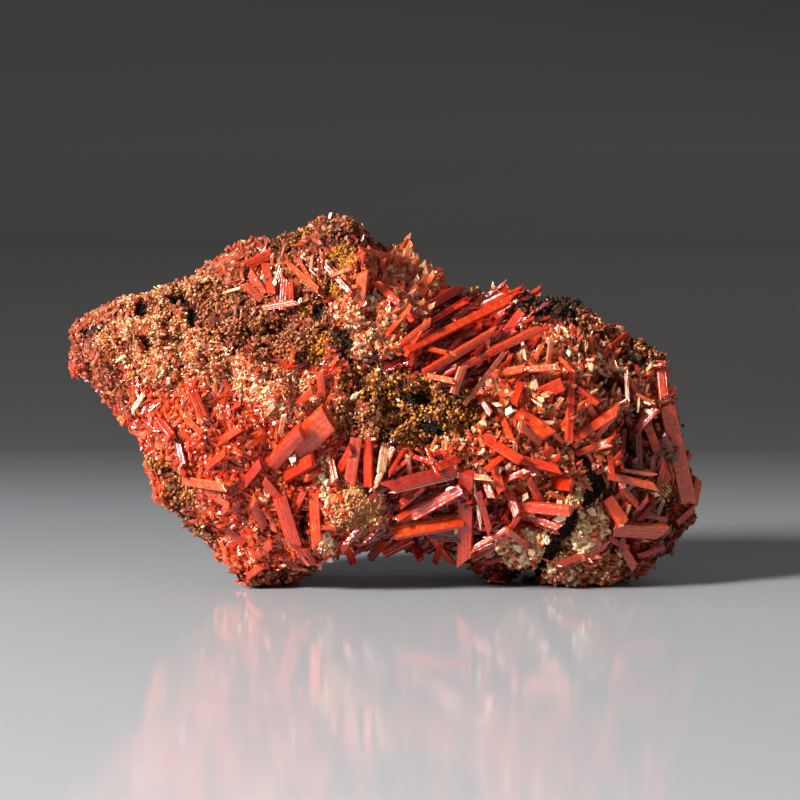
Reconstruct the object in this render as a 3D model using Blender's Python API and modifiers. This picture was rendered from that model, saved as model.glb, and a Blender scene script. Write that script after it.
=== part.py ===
# Crocoite on gossan: a hand specimen of red lead chromate blades grown over a porous iron-oxide rock.
# Metres, +Z up. The specimen stands on its flat-cut feet at z = 0, and its crystal face looks along -Y.

import math
import random
from collections import namedtuple

import bmesh
import bpy
import numpy as np
from mathutils import Matrix, Vector, noise
from mathutils.bvhtree import BVHTree

MM = 0.001

# Driving dimensions, in millimetres
LENGTH = 100.0
FRONT_DEPTH = 19.0
BACK_DEPTH = 20.0
CENTRE_HEIGHT = 26.0
RIM_LEAN = (4.0, 1.5)  # how far the rim leans back towards the right end and towards the top
BED_CLEARANCE = 0.4
BED_THICKNESS = 0.7
BED_RAGGEDNESS = 1.3
BED_STEEPEST = -0.75  # a bed ends where the rock has turned this far away from its side
LOWEST_BED = 1.0
LOWEST_CRYSTAL = 3.0
PIECE_GAP = 0.3
EVEN_FACE_SIZE = 1.5

# The rock's own lumps: broad swells, cells and fine ones, as size and height in millimetres
SWELLS = (13.0, 2.0)
CELLS = (6.5, 3.4)
FINE_LUMPS = (3.0, 1.5)

# Shape factors and counts
RIM_POWER = 2.6
END_THINNING = 0.3
CRYSTAL_TAPER = 0.88
ROCK_FACES = 2700
CRYSTAL_FACES_KEPT = 0.5
SEED = 11

# The point in front of the crystal face, a little above it, that the face's features are read from
EYE = (2.0, -697.0, 89.6)

# Where the design's own zero stands in the finished frame, so that the origin is under the middle of the box
PLACED_AT = (-0.305, 0.064)

# The crystal face's silhouette, clockwise from the left tip, as x and height above the floor
OUTLINE = [
    (-51.0, 38.8), (-49.2, 42.0), (-45.0, 43.8), (-41.5, 45.0), (-36.9, 45.4), (-31.3, 47.4),
    (-28.8, 48.6), (-27.5, 50.6), (-24.8, 52.0), (-18.1, 53.0), (-15.2, 55.0), (-10.6, 57.4),
    (-6.3, 58.0), (-4.7, 56.7), (-3.1, 54.0), (-0.3, 52.2), (2.5, 51.4), (3.9, 49.6), (6.7, 48.2),
    (9.1, 46.6), (12.2, 45.0), (16.9, 45.2), (21.6, 45.2), (26.3, 44.2), (30.6, 43.2), (32.8, 41.5),
    (36.3, 39.2), (40.0, 37.4), (42.0, 35.6), (43.6, 32.0), (43.5, 28.6), (45.2, 25.5), (46.2, 20.8),
    (47.4, 17.6), (50.4, 16.6), (51.2, 14.5), (50.8, 11.0), (48.8, 8.0), (45.0, 4.6), (41.4, 2.6),
    (37.0, 0.4), (34.5, -2.6), (20.4, -2.8), (18.4, 2.6), (11.9, 4.8), (2.5, 5.5), (-6.6, 5.5),
    (-9.4, 5.2), (-12.4, 3.2), (-14.8, 1.6), (-16.4, -2.6), (-21.0, -2.6), (-22.2, 2.0), (-24.2, 4.2),
    (-27.2, 5.0), (-28.2, 7.0), (-31.0, 9.6), (-34.0, 12.0), (-36.5, 15.2), (-38.4, 22.2),
    (-40.6, 26.0), (-43.6, 28.4), (-46.0, 31.6), (-50.0, 36.6),
]

# Old fractures that flatten the form: the plane's outward normal and its distance from the centre
FRACTURES = [
    ((0.80, -0.58, -0.12), 38.5),
    ((-0.55, -0.83, -0.10), 31.5),
    ((0.15, -0.70, 0.70), 27.0),
    ((-0.30, -0.80, -0.52), 25.5),
    ((0.00, -0.62, -0.78), 24.5),
    ((0.25, 0.95, 0.20), 18.0),
    ((-0.50, 0.85, 0.15), 25.0),
    ((0.60, 0.80, -0.10), 34.0),
    ((0.00, 0.78, 0.62), 22.0),
    ((-0.10, 0.72, -0.69), 24.5),
    ((-0.70, 0.70, 0.15), 35.0),
]

# Lumps and hollows: x and height as read, radius, and how far the surface stands out, or in if negative
FRONT_RELIEF = [
    (-7.0, 52.0, 5.5, 2.4), (-8.0, 41.0, 5.0, 1.8), (4.0, 48.0, 4.5, -4.2), (14.5, 36.0, 5.5, -2.6),
    (35.5, 29.5, 3.2, -3.4), (35.0, 19.0, 3.0, -3.0), (-4.2, 11.0, 4.8, 2.4), (6.0, 9.5, 5.5, -2.8),
    (6.5, 25.5, 7.0, 2.0), (-13.6, 6.0, 2.2, -2.2), (-24.5, 22.5, 9.0, 1.8), (27.0, 7.0, 5.5, 2.0),
    (-35.0, 14.0, 4.0, -1.5), (-40.0, 39.5, 4.5, 1.2), (25.0, 26.0, 8.0, 1.4), (-28.0, 43.0, 4.0, -1.6),
]
BACK_RELIEF = [
    (-18.0, 33.0, 8.0, 2.6), (12.0, 40.0, 6.0, 2.2), (2.0, 20.0, 7.0, -3.0), (28.0, 20.0, 7.0, 2.4),
    (-34.0, 34.0, 6.0, -2.0), (-12.0, 10.0, 6.0, 2.0), (36.0, 32.0, 5.0, -2.0), (-4.0, 48.0, 5.0, -2.2),
]

# A blade as read: its root and its tip as x and height, its width, and how far its tip stands proud
Blade = namedtuple("Blade", "root_x root_z tip_x tip_z width stand")

# A cluster: the discs of rock that its bed covers (x, height, radius), which side they are on, its
# blades placed by eye, and how many more crystals fill it, with their length and width ranges
Cluster = namedtuple("Cluster", "name side discs blades extra length width")

CLUSTERS = [
    Cluster(
        "blade_spray_upper", "front",
        [(5.5, 38.0, 4.6), (10.0, 37.0, 5.6), (15.0, 34.5, 5.2), (20.0, 38.5, 4.6), (24.0, 35.0, 4.0)],
        [
            Blade(3.5, 41.0, 11.2, 46.2, 1.6, 3.4), Blade(4.0, 37.0, 20.2, 44.5, 1.7, 4.2),
            Blade(6.5, 33.5, 16.6, 39.0, 1.9, 4.0), Blade(12.2, 34.0, 25.0, 39.8, 1.6, 3.2),
            Blade(12.5, 29.5, 17.5, 35.5, 1.2, 2.0), Blade(6.5, 41.0, 12.7, 44.8, 1.2, 2.0),
            Blade(2.8, 37.8, 7.0, 41.5, 1.6, 2.2), Blade(10.2, 41.4, 15.5, 45.0, 1.4, 1.2),
            Blade(17.7, 37.2, 21.4, 42.8, 1.9, 1.6), Blade(17.2, 32.3, 26.6, 34.0, 1.6, 2.2),
            Blade(21.0, 34.5, 20.8, 40.8, 1.1, 1.6), Blade(8.5, 31.5, 15.2, 33.0, 1.2, 1.6),
        ],
        6, (3.5, 6.0), (1.1, 1.7),
    ),
    Cluster(
        "crystal_cluster_summit", "front",
        [(1.0, 47.5, 4.6), (5.0, 46.5, 3.4), (-3.0, 46.0, 3.0)],
        [
            Blade(-3.9, 51.0, 2.5, 50.0, 1.2, 1.0), Blade(4.8, 44.8, 6.9, 48.0, 2.0, 1.0),
            Blade(-4.2, 44.5, -3.8, 48.6, 1.7, 1.2), Blade(-0.3, 44.8, 2.0, 49.2, 1.4, 1.0),
            Blade(1.2, 44.2, -1.7, 47.0, 1.2, 1.2),
        ],
        7, (3.0, 5.0), (1.1, 1.8),
    ),
    Cluster(
        "crystal_cluster_ridge", "front",
        [(-22.5, 49.0, 4.0), (-17.5, 46.5, 3.8), (-14.0, 46.0, 3.0)],
        [
            Blade(-15.5, 49.5, -11.4, 45.8, 1.2, 1.2), Blade(-22.0, 49.4, -18.3, 50.5, 1.4, 1.2),
            Blade(-16.1, 43.3, -16.1, 47.3, 1.2, 1.2), Blade(-25.8, 49.5, -23.0, 51.6, 1.6, 0.6),
            Blade(-19.5, 45.8, -22.3, 48.0, 1.4, 1.0), Blade(-24.2, 46.6, -22.0, 50.2, 1.4, 1.0),
            Blade(-13.6, 44.2, -10.8, 47.3, 1.0, 1.0),
        ],
        8, (3.0, 4.6), (1.1, 1.8),
    ),
    Cluster(
        "blade_fan_lower", "front",
        [
            (-4.0, 18.0, 3.6), (2.0, 11.5, 5.4), (8.5, 13.5, 5.4), (12.0, 8.0, 4.6), (16.0, 10.0, 4.2),
            (3.0, 6.5, 3.4),
        ],
        [
            Blade(-5.8, 16.2, -4.5, 21.6, 2.0, 1.6), Blade(-2.8, 15.6, -3.1, 21.0, 1.4, 1.6),
            Blade(-2.2, 14.6, 0.2, 20.0, 1.4, 1.6), Blade(10.2, 19.0, 1.7, 14.7, 1.9, 2.2),
            Blade(7.3, 16.0, 1.1, 9.6, 1.4, 1.4), Blade(10.8, 15.0, 3.1, 9.5, 2.0, 2.4),
            Blade(11.4, 10.2, 0.8, 7.8, 2.0, 2.2), Blade(12.3, 17.3, 12.2, 3.4, 2.5, 3.2),
            Blade(13.6, 4.6, 18.3, 8.2, 1.2, 1.6), Blade(9.4, 3.6, 5.2, 7.0, 1.4, 1.6),
            Blade(3.9, 7.4, -0.6, 4.4, 2.0, 1.6), Blade(4.7, 20.5, 8.1, 17.8, 1.2, 1.6),
            Blade(15.8, 16.5, 14.5, 8.3, 1.2, 1.6), Blade(17.7, 12.5, 15.5, 5.0, 1.2, 1.4),
        ],
        8, (3.0, 5.5), (1.1, 1.8),
    ),
    Cluster(
        "blade_group_right_end", "front",
        [(44.0, 21.0, 5.6), (40.0, 14.5, 5.2), (44.5, 12.0, 4.6), (39.5, 8.0, 4.4), (41.5, 30.0, 3.4)],
        [
            Blade(46.4, 13.3, 43.9, 26.7, 2.7, 1.6), Blade(43.2, 15.8, 40.4, 24.8, 1.9, 1.6),
            Blade(37.2, 17.3, 41.9, 15.2, 1.4, 1.6), Blade(42.8, 7.4, 36.6, 8.6, 2.5, 2.0),
            Blade(36.6, 6.8, 39.0, 2.4, 1.9, 1.2), Blade(37.2, 9.4, 38.0, 12.4, 1.9, 1.2),
            Blade(43.0, 28.6, 42.8, 33.0, 1.6, 0.6), Blade(48.2, 12.6, 49.0, 15.8, 1.6, 0.4),
            Blade(39.5, 4.6, 43.6, 6.6, 1.4, 1.0), Blade(41.4, 13.0, 37.7, 14.0, 1.4, 1.6),
        ],
        9, (3.0, 6.0), (1.2, 2.2),
    ),
    Cluster(
        "crystal_tangle_right", "front",
        [
            (18.5, 26.5, 4.2), (25.5, 28.5, 6.0), (31.5, 24.5, 4.8), (23.0, 20.5, 6.0), (28.5, 18.0, 4.8),
            (22.5, 13.5, 4.4), (30.5, 32.5, 4.0), (33.5, 36.0, 3.0),
        ],
        [
            Blade(29.0, 21.2, 28.4, 33.0, 1.4, 2.6), Blade(30.2, 23.3, 35.6, 27.5, 1.9, 2.2),
            Blade(21.0, 27.0, 25.3, 24.0, 2.2, 1.6), Blade(32.8, 34.8, 36.4, 37.6, 1.2, 1.0),
            Blade(15.6, 28.6, 17.2, 25.5, 1.2, 1.6), Blade(16.8, 21.4, 21.0, 18.4, 1.4, 1.6),
            Blade(20.8, 14.7, 27.0, 18.4, 1.4, 2.0), Blade(21.7, 12.2, 27.0, 11.2, 1.2, 1.6),
            Blade(23.9, 31.0, 31.7, 29.8, 1.4, 1.8), Blade(24.7, 22.3, 27.0, 27.0, 1.4, 1.6),
            Blade(32.2, 17.7, 28.6, 20.0, 1.6, 1.6), Blade(18.4, 24.0, 20.8, 29.4, 1.2, 2.0),
            Blade(27.0, 13.2, 25.2, 16.4, 1.4, 1.6), Blade(31.7, 25.5, 27.0, 28.3, 1.2, 2.0),
            Blade(23.1, 20.0, 29.4, 19.0, 1.2, 1.8),
        ],
        18, (3.0, 5.5), (1.1, 1.8),
    ),
    Cluster(
        "crystal_crust_left", "front",
        [
            (-41.5, 30.5, 3.8), (-36.0, 25.5, 5.0), (-28.0, 24.0, 6.6), (-19.5, 22.5, 6.4),
            (-13.0, 22.0, 4.8), (-30.0, 16.0, 5.0), (-22.5, 13.0, 7.0), (-14.0, 12.0, 5.4),
            (-22.0, 6.0, 4.4), (-14.0, 6.0, 3.4),
        ],
        [
            Blade(-14.2, 21.2, -9.4, 26.6, 3.0, 1.8), Blade(-17.8, 21.2, -13.1, 24.8, 2.2, 1.6),
            Blade(-15.9, 15.5, -11.6, 19.0, 1.9, 1.6), Blade(-10.9, 5.8, -11.7, 13.3, 1.6, 2.0),
            Blade(-14.2, 5.5, -15.8, 13.8, 1.6, 1.4), Blade(-29.2, 28.8, -28.4, 25.5, 1.4, 1.2),
            Blade(-19.5, 15.8, -22.3, 18.6, 2.0, 1.0), Blade(-24.5, 9.8, -21.4, 13.3, 1.9, 1.2),
            Blade(-32.3, 20.8, -29.8, 23.6, 1.9, 1.0), Blade(-40.2, 29.4, -37.0, 32.0, 1.9, 0.8),
            Blade(-23.0, 23.9, -19.5, 26.7, 1.7, 1.2), Blade(-37.0, 22.3, -34.2, 25.5, 1.6, 0.8),
            Blade(-26.9, 16.1, -30.0, 18.4, 1.7, 1.0), Blade(-19.5, 5.9, -21.4, 9.5, 1.6, 1.0),
            Blade(-23.8, 4.0, -20.5, 5.9, 1.6, 0.8),
        ],
        42, (3.0, 5.5), (1.3, 2.3),
    ),
    Cluster(
        "crystal_crust_back", "back",
        [(-20.0, 30.0, 7.0), (-11.0, 27.0, 7.0), (-16.0, 19.0, 6.0), (-28.0, 33.0, 5.0)],
        [],
        28, (3.5, 6.0), (1.4, 2.3),
    ),
    Cluster(
        "blade_spray_back", "back",
        [(17.0, 31.0, 6.4), (24.0, 26.0, 6.0), (12.0, 24.0, 5.0)],
        [
            Blade(14.0, 27.0, 22.0, 37.0, 1.8, 4.0), Blade(17.0, 26.0, 31.0, 31.0, 1.9, 3.6),
            Blade(13.0, 28.0, 11.0, 38.0, 1.6, 3.0), Blade(19.0, 25.0, 27.0, 19.0, 1.7, 3.0),
        ],
        12, (4.0, 7.5), (1.3, 2.2),
    ),
]

COLOURS = {
    "gossan": ((0.30, 0.15, 0.06), 0.85),
    "crocoite": ((0.75, 0.10, 0.03), 0.25),
}


def clear_scene():
    for old in list(bpy.data.objects):
        bpy.data.objects.remove(old, do_unlink=True)


def new_collection(name, hidden=False):
    collection = bpy.data.collections.new(name)
    bpy.context.scene.collection.children.link(collection)
    collection.hide_render = hidden
    return collection


def new_object(name, bm, collection):
    """Links a mesh object made from bm, which it frees."""
    mesh = bpy.data.meshes.new(name)
    bm.to_mesh(mesh)
    bm.free()
    made = bpy.data.objects.new(name, mesh)
    collection.objects.link(made)
    return made


def bake(target):
    """Makes what the modifiers give the object's own mesh."""
    graph = bpy.context.evaluated_depsgraph_get()
    mesh = bpy.data.meshes.new_from_object(target.evaluated_get(graph))
    target.modifiers.clear()
    target.data = mesh


def material(name):
    colour, roughness = COLOURS[name]
    made = bpy.data.materials.new(name)
    made.use_nodes = True
    shader = made.node_tree.nodes["Principled BSDF"]
    shader.inputs["Base Color"].default_value = (*colour, 1.0)
    shader.inputs["Roughness"].default_value = roughness
    shader.inputs["Metallic"].default_value = 0.0
    return made


# The rock's form

def outline_radius(angle):
    """Distance in mm from the centre to the silhouette, at each angle in the XZ plane."""
    corners = np.array(OUTLINE) - (0.0, CENTRE_HEIGHT)
    angles = np.arctan2(corners[:, 1], corners[:, 0])
    order = np.argsort(angles)
    return np.interp(angle, angles[order], np.hypot(*corners.T)[order], period=2 * math.pi)


def pillow(directions):
    """Unit directions pushed out to the silhouette in XZ and to the front and back depths in Y, in mm."""
    x, y, z = directions.T
    flat = np.hypot(x, z)
    angle = np.arctan2(z, x)
    size = (flat**RIM_POWER + np.abs(y) ** RIM_POWER) ** (-1 / RIM_POWER)
    reach = outline_radius(angle) * flat * size
    across = reach * np.cos(angle)
    depth = np.where(y < 0, FRONT_DEPTH, BACK_DEPTH)
    depth = depth * (1 - END_THINNING * (2 * across / LENGTH) ** 2)
    rim_lean = RIM_LEAN[0] * np.cos(angle) + RIM_LEAN[1] * np.sin(angle)
    along = depth * y * size + rim_lean * (flat * size) ** 4
    return np.column_stack([across, along, CENTRE_HEIGHT + reach * np.sin(angle)])


def chip(points):
    """Flattens what stands past each fracture plane."""
    keep_proud = 0.12
    centre = np.array([0.0, 0.0, CENTRE_HEIGHT])
    for normal, reach in FRACTURES:
        normal = np.array(normal) / np.linalg.norm(normal)
        over = np.maximum((points - centre) @ normal - reach, 0.0)
        points = points - np.outer(over * (1 - keep_proud), normal)
    return points


def as_read(points):
    """Where the lines from EYE through the points meet the upright plane y = 0, in mm."""
    eye = np.array(EYE)
    stretch = -eye[1] / (points[:, 1] - eye[1])
    return eye + (points - eye) * stretch[:, None]


def relief(points, directions):
    """Adds the lumps and hollows of both faces, along Y."""
    rim_fade = 2.5
    for table, side in ((FRONT_RELIEF, -1.0), (BACK_RELIEF, 1.0)):
        read = as_read(points) if side < 0 else points.copy()
        facing = np.clip(directions[:, 1] * side * rim_fade, 0.0, 1.0)
        for x, z, radius, height in table:
            away = (read[:, 0] - x) ** 2 + (read[:, 2] - z) ** 2
            points[:, 1] += side * height * facing * np.exp(-away / radius**2)
    return points


def roughness_at(point):
    """Height in mm of the rock's own lumps at a point given in mm."""
    mean_cell = 0.35
    broad = noise.fractal(point / SWELLS[0], 1.0, 2.0, 2, noise_basis="PERLIN_ORIGINAL")
    cells = noise.voronoi(point / CELLS[0])[0]
    fine = noise.noise(point / FINE_LUMPS[0])
    return SWELLS[1] * broad + CELLS[1] * (cells[1] - cells[0] - mean_cell) + FINE_LUMPS[1] * fine


def roughen(bm):
    """Pushes each vertex along its normal, and mostly along Y near the rim so that the silhouette stays."""
    rim_width = 1.6
    rim_hold = 0.6
    bm.normal_update()
    for vert in bm.verts:
        rimness = 1 - min(1.0, abs(vert.normal.y) * rim_width)
        push = vert.normal * roughness_at(vert.co)
        push.x *= 1 - rim_hold * rimness
        push.z *= 1 - rim_hold * rimness
        vert.co += push


def floor_cutter(collection, top):
    """A slab under the height top, in mm, that cuts the feet off flat."""
    thick = 20.0
    bm = bmesh.new()
    bmesh.ops.create_cube(bm, size=1.0)
    bmesh.ops.scale(bm, vec=(2 * LENGTH, LENGTH, thick), verts=bm.verts)
    bmesh.ops.translate(bm, vec=(0, 0, top - thick / 2), verts=bm.verts)
    cutter = new_object("floor_cutter", bm, collection)
    cutter.hide_render = True
    cutter.display_type = "WIRE"
    return cutter


def boolean(target, operation, other):
    modifier = target.modifiers.new(operation.lower(), "BOOLEAN")
    modifier.operation = operation
    modifier.solver = "EXACT"
    modifier.use_self = True
    if isinstance(other, bpy.types.Collection):
        modifier.operand_type = "COLLECTION"
        modifier.collection = other
    else:
        modifier.object = other
    bake(target)


def islands(bm):
    """The faces of each separate body of bm, largest first. Bodies that only touch along an edge are two."""
    left = set(bm.faces)
    found = []
    while left:
        stack = [left.pop()]
        body = list(stack)
        while stack:
            for edge in stack.pop().edges:
                if len(edge.link_faces) != 2:
                    continue
                for face in edge.link_faces:
                    if face in left:
                        left.discard(face)
                        body.append(face)
                        stack.append(face)
        found.append(body)
    return sorted(found, key=len, reverse=True)


def tidy(target):
    """Keeps the object's largest body, merges what a Boolean left doubled, and splits it into triangles."""
    merge = 0.0005
    bm = bmesh.new()
    bm.from_mesh(target.data)
    bmesh.ops.remove_doubles(bm, verts=bm.verts, dist=merge)
    for body in islands(bm)[1:]:
        bmesh.ops.delete(bm, geom=body, context="FACES")
    bmesh.ops.triangulate(bm, faces=bm.faces)
    bm.to_mesh(target.data)
    bm.free()


def make_rock(parts, helpers):
    bm = bmesh.new()
    bmesh.ops.create_icosphere(bm, subdivisions=5, radius=1.0)
    directions = np.array([vert.co for vert in bm.verts])
    points = relief(chip(pillow(directions)), directions)
    for vert, point in zip(bm.verts, points):
        vert.co = point
    rock = new_object("gossan_matrix", bm, parts)
    even = rock.modifiers.new("even faces", "REMESH")
    even.mode = "VOXEL"
    even.voxel_size = EVEN_FACE_SIZE
    bake(rock)
    bm = bmesh.new()
    bm.from_mesh(rock.data)
    roughen(bm)
    bm.to_mesh(rock.data)
    bm.free()
    fewer = rock.modifiers.new("fewer faces", "DECIMATE")
    fewer.ratio = ROCK_FACES / (2 * len(rock.data.polygons))
    bake(rock)
    cutter = floor_cutter(helpers, 0.0)
    boolean(rock, "DIFFERENCE", cutter)
    bpy.data.objects.remove(cutter)
    tidy(rock)
    rock.data.materials.append(material("gossan"))
    return rock


# The crystals

def rock_tree(rock):
    bm = bmesh.new()
    bm.from_mesh(rock.data)
    tree = BVHTree.FromBMesh(bm)
    bm.free()
    return tree


def sight_line(x, z, side):
    """Where the line to a feature read at x and z starts, and its direction. The back is read along Y."""
    if side == "front":
        start = Vector(EYE)
    else:
        start = Vector((x, LENGTH, z))
    return start, (Vector((x, 0, z)) - start).normalized()


def at_depth(x, z, side, y):
    """The point of a sight line at depth y."""
    start, direction = sight_line(x, z, side)
    return start + direction * ((y - start.y) / direction.y)


def nearest_on_surface(tree, x, z, side):
    """Where a sight line meets the rock, drawn towards the middle of the face until it does."""
    inward_step = 0.02
    for step in range(12):
        inward = 1 - inward_step * step
        drawn_z = CENTRE_HEIGHT + (z - CENTRE_HEIGHT) * inward
        found = tree.ray_cast(*sight_line(x * inward, drawn_z, side))[0]
        if found:
            return found
    raise ValueError(f"nothing of the rock lies near {x}, {z}")


def bed_faces(rock, centres, taken):
    """The rock faces inside any of the spheres that share no vertex with those taken, as their indices."""
    barred = {vert for index in taken for vert in rock.data.polygons[index].vertices}
    chosen = set()
    for face in rock.data.polygons:
        corners = [rock.data.vertices[index].co for index in face.vertices]
        if min(corner.z for corner in corners) < LOWEST_BED or not barred.isdisjoint(face.vertices):
            continue
        for centre, radius in centres:
            if all((corner - centre).length < radius + BED_RAGGEDNESS for corner in corners):
                chosen.add(face.index)
    return chosen


def lone_corners(bm):
    """Vertices where the bed's faces meet only at a point, so that its wall would pinch there."""
    return [vert for vert in bm.verts if sum(edge.is_boundary for edge in vert.link_edges) > 2]


def make_bed(cluster, rock, tree, taken, parts):
    """A crust that follows the rock over the cluster's discs, a gap clear of it."""
    sign = -1.0 if cluster.side == "front" else 1.0
    centres = []
    for x, z, radius in cluster.discs:
        centres.append((nearest_on_surface(tree, x, z, cluster.side), radius))
    chosen = bed_faces(rock, centres, taken)
    bm = bmesh.new()
    bm.from_mesh(rock.data)
    bm.faces.ensure_lookup_table()
    bm.normal_update()
    for vert in bm.verts:
        vert.co += vert.normal * BED_CLEARANCE
    spare = [face for face in bm.faces if face.index not in chosen or face.normal.y * sign < BED_STEEPEST]
    bmesh.ops.delete(bm, geom=spare, context="FACES")
    for _ in range(4):
        pinched = lone_corners(bm)
        if pinched:
            bmesh.ops.delete(bm, geom=list({f for v in pinched for f in v.link_faces}), context="FACES")
    for body in islands(bm)[1:]:
        bmesh.ops.delete(bm, geom=body, context="FACES")
    bed = new_object(cluster.name, bm, parts)
    shell = bed.modifiers.new("thickness", "SOLIDIFY")
    shell.thickness = BED_THICKNESS
    shell.offset = 1.0
    bake(bed)
    return bed, chosen


def prism_mesh(length, width, sides, thinness, slant):
    """One crystal on +Z from the origin: a flattened prism, slightly tapered, with a slanting end face."""
    bm = bmesh.new()
    bmesh.ops.create_cone(
        bm, cap_ends=True, segments=sides, radius1=width / 2, radius2=CRYSTAL_TAPER * width / 2, depth=length
    )
    bmesh.ops.scale(bm, vec=(1.0, thinness, 1.0), verts=bm.verts)
    bmesh.ops.translate(bm, vec=(0, 0, length / 2), verts=bm.verts)
    for vert in bm.verts:
        if vert.co.z > length / 2:
            vert.co.z -= slant * (vert.co.x + width / 2)
    return bm


def place_prism(root, tip, width, sides, thinness, slant, roll, grow=0.0):
    """A crystal from root to tip, in mm. grow fattens it all round, for a clearance test."""
    along = tip - root
    bm = prism_mesh(along.length + grow, width + 2 * grow, sides, thinness, slant)
    turn = along.to_track_quat("Z", "Y").to_matrix().to_4x4()
    place = Matrix.Translation(root) @ turn @ Matrix.Rotation(roll, 4, "Z")
    bmesh.ops.transform(bm, matrix=place, verts=bm.verts)
    return bm


def read_blade(blade, tree, side):
    """The root and tip in mm of a blade placed by eye."""
    sign = -1.0 if side == "front" else 1.0
    under_root = nearest_on_surface(tree, blade.root_x, blade.root_z, side)
    under_tip = nearest_on_surface(tree, blade.tip_x, blade.tip_z, side)
    root = at_depth(blade.root_x, blade.root_z, side, under_root.y + sign * BED_CLEARANCE)
    tip_height = BED_CLEARANCE + BED_THICKNESS + blade.stand
    return root, at_depth(blade.tip_x, blade.tip_z, side, under_tip.y + sign * tip_height)


def grown_crystal(faces, rng, cluster, sign):
    """A root and tip for one more crystal on the bed, leaning well over as they grow in a tangle."""
    centre, normal = rng.choice(faces)
    lean = Vector((rng.gauss(0, 1), rng.gauss(0, 0.6), rng.gauss(0, 1)))
    along = (normal * rng.uniform(0.5, 1.2) + lean.normalized()).normalized()
    if along.y * sign < -0.2:
        along.y *= -1
    length = rng.uniform(*cluster.length)
    sunk = along * 0.8 * BED_THICKNESS
    return centre - sunk, centre - sunk + along * length


def grow_cluster(cluster, bed, rock, tree, others, helpers, floor):
    """Joins the cluster's crystals and its bed into one solid, cut clear of the rock and the floor."""
    rng = random.Random(SEED + len(cluster.name) * 7)
    sign = -1.0 if cluster.side == "front" else 1.0
    faces = [
        (face.center.copy(), face.normal.copy())
        for face in bed.data.polygons
        if face.normal.y * sign > 0.1 and face.center.z > LOWEST_CRYSTAL
    ]
    wanted = [(read_blade(blade, tree, cluster.side), blade.width) for blade in cluster.blades]
    for _ in range(cluster.extra):
        wanted.append((grown_crystal(faces, rng, cluster, sign), rng.uniform(*cluster.width)))
    crystals = new_collection(cluster.name + "_crystals", hidden=True)
    skipped = 0
    for (root, tip), width in wanted:
        sides = rng.choice((4, 4, 6))
        form = (width, sides, rng.uniform(0.55, 0.9), rng.uniform(0.0, 0.7), rng.uniform(0, math.pi))
        test = place_prism(root, tip, *form, grow=PIECE_GAP * 1.3)
        fat = BVHTree.FromBMesh(test)
        test.free()
        if any(fat.overlap(other) for other in others):
            skipped += 1
            continue
        new_object(cluster.name + "_crystal", place_prism(root, tip, *form), crystals)
    print(f"{cluster.name}: {len(crystals.objects)} crystals, {skipped} left out for want of room")
    boolean(bed, "UNION", crystals)
    for crystal in list(crystals.objects):
        bpy.data.objects.remove(crystal)
    bpy.data.collections.remove(crystals)
    boolean(bed, "DIFFERENCE", swollen(rock, helpers))
    boolean(bed, "DIFFERENCE", rock)
    boolean(bed, "DIFFERENCE", floor)
    tidy(bed)
    fewer = bed.modifiers.new("fewer faces", "DECIMATE")
    fewer.ratio = CRYSTAL_FACES_KEPT
    bake(bed)


def swollen(rock, helpers):
    """The rock grown by the gap that a crystal solid keeps from it."""
    found = bpy.data.objects.get("rock_cutter")
    if found:
        return found
    bm = bmesh.new()
    bm.from_mesh(rock.data)
    bm.normal_update()
    for vert in bm.verts:
        vert.co += vert.normal * PIECE_GAP
    cutter = new_object("rock_cutter", bm, helpers)
    cutter.hide_render = True
    cutter.display_type = "WIRE"
    return cutter


def tree_of(target):
    bm = bmesh.new()
    bm.from_mesh(target.data)
    tree = BVHTree.FromBMesh(bm)
    bm.free()
    return tree


def finish(target, crocoite):
    """Scales a solid from millimetres to metres, in its place in the finished frame."""
    move = Matrix.Translation((PLACED_AT[0] * MM, PLACED_AT[1] * MM, 0.0))
    target.data.transform(move @ Matrix.Scale(MM, 4))
    if not target.data.materials:
        target.data.materials.append(crocoite)


def main():
    clear_scene()
    parts = new_collection("crocoite_specimen")
    helpers = new_collection("cutters", hidden=True)
    rock = make_rock(parts, helpers)
    tree = rock_tree(rock)
    beds = {}
    taken = set()
    for cluster in CLUSTERS:
        beds[cluster.name], chosen = make_bed(cluster, rock, tree, taken, parts)
        taken |= chosen
    floor = floor_cutter(helpers, PIECE_GAP)
    for cluster in CLUSTERS:
        others = [tree_of(bed) for name, bed in beds.items() if name != cluster.name]
        grow_cluster(cluster, beds[cluster.name], rock, tree, others, helpers, floor)
    crocoite = material("crocoite")
    for target in parts.objects:
        finish(target, crocoite)


main()
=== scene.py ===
import math
import random

import bmesh
import bpy
import numpy as np
from mathutils import Matrix, Vector, kdtree, noise
from mathutils.bvhtree import BVHTree


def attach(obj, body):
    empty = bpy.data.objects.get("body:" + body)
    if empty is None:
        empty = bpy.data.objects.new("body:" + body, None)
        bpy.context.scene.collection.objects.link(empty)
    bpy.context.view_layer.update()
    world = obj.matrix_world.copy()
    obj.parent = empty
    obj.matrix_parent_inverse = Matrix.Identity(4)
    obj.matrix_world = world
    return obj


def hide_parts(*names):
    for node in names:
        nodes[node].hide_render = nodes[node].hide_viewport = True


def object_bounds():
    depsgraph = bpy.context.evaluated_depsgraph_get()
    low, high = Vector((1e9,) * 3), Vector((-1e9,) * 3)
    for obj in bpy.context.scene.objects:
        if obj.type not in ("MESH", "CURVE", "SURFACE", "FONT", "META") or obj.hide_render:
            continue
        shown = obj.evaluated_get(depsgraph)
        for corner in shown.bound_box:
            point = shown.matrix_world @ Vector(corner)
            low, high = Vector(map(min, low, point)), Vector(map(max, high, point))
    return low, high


# Crocoite on gossan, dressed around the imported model. Metres, +Z up, the crystal face looks along -Y.

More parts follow.
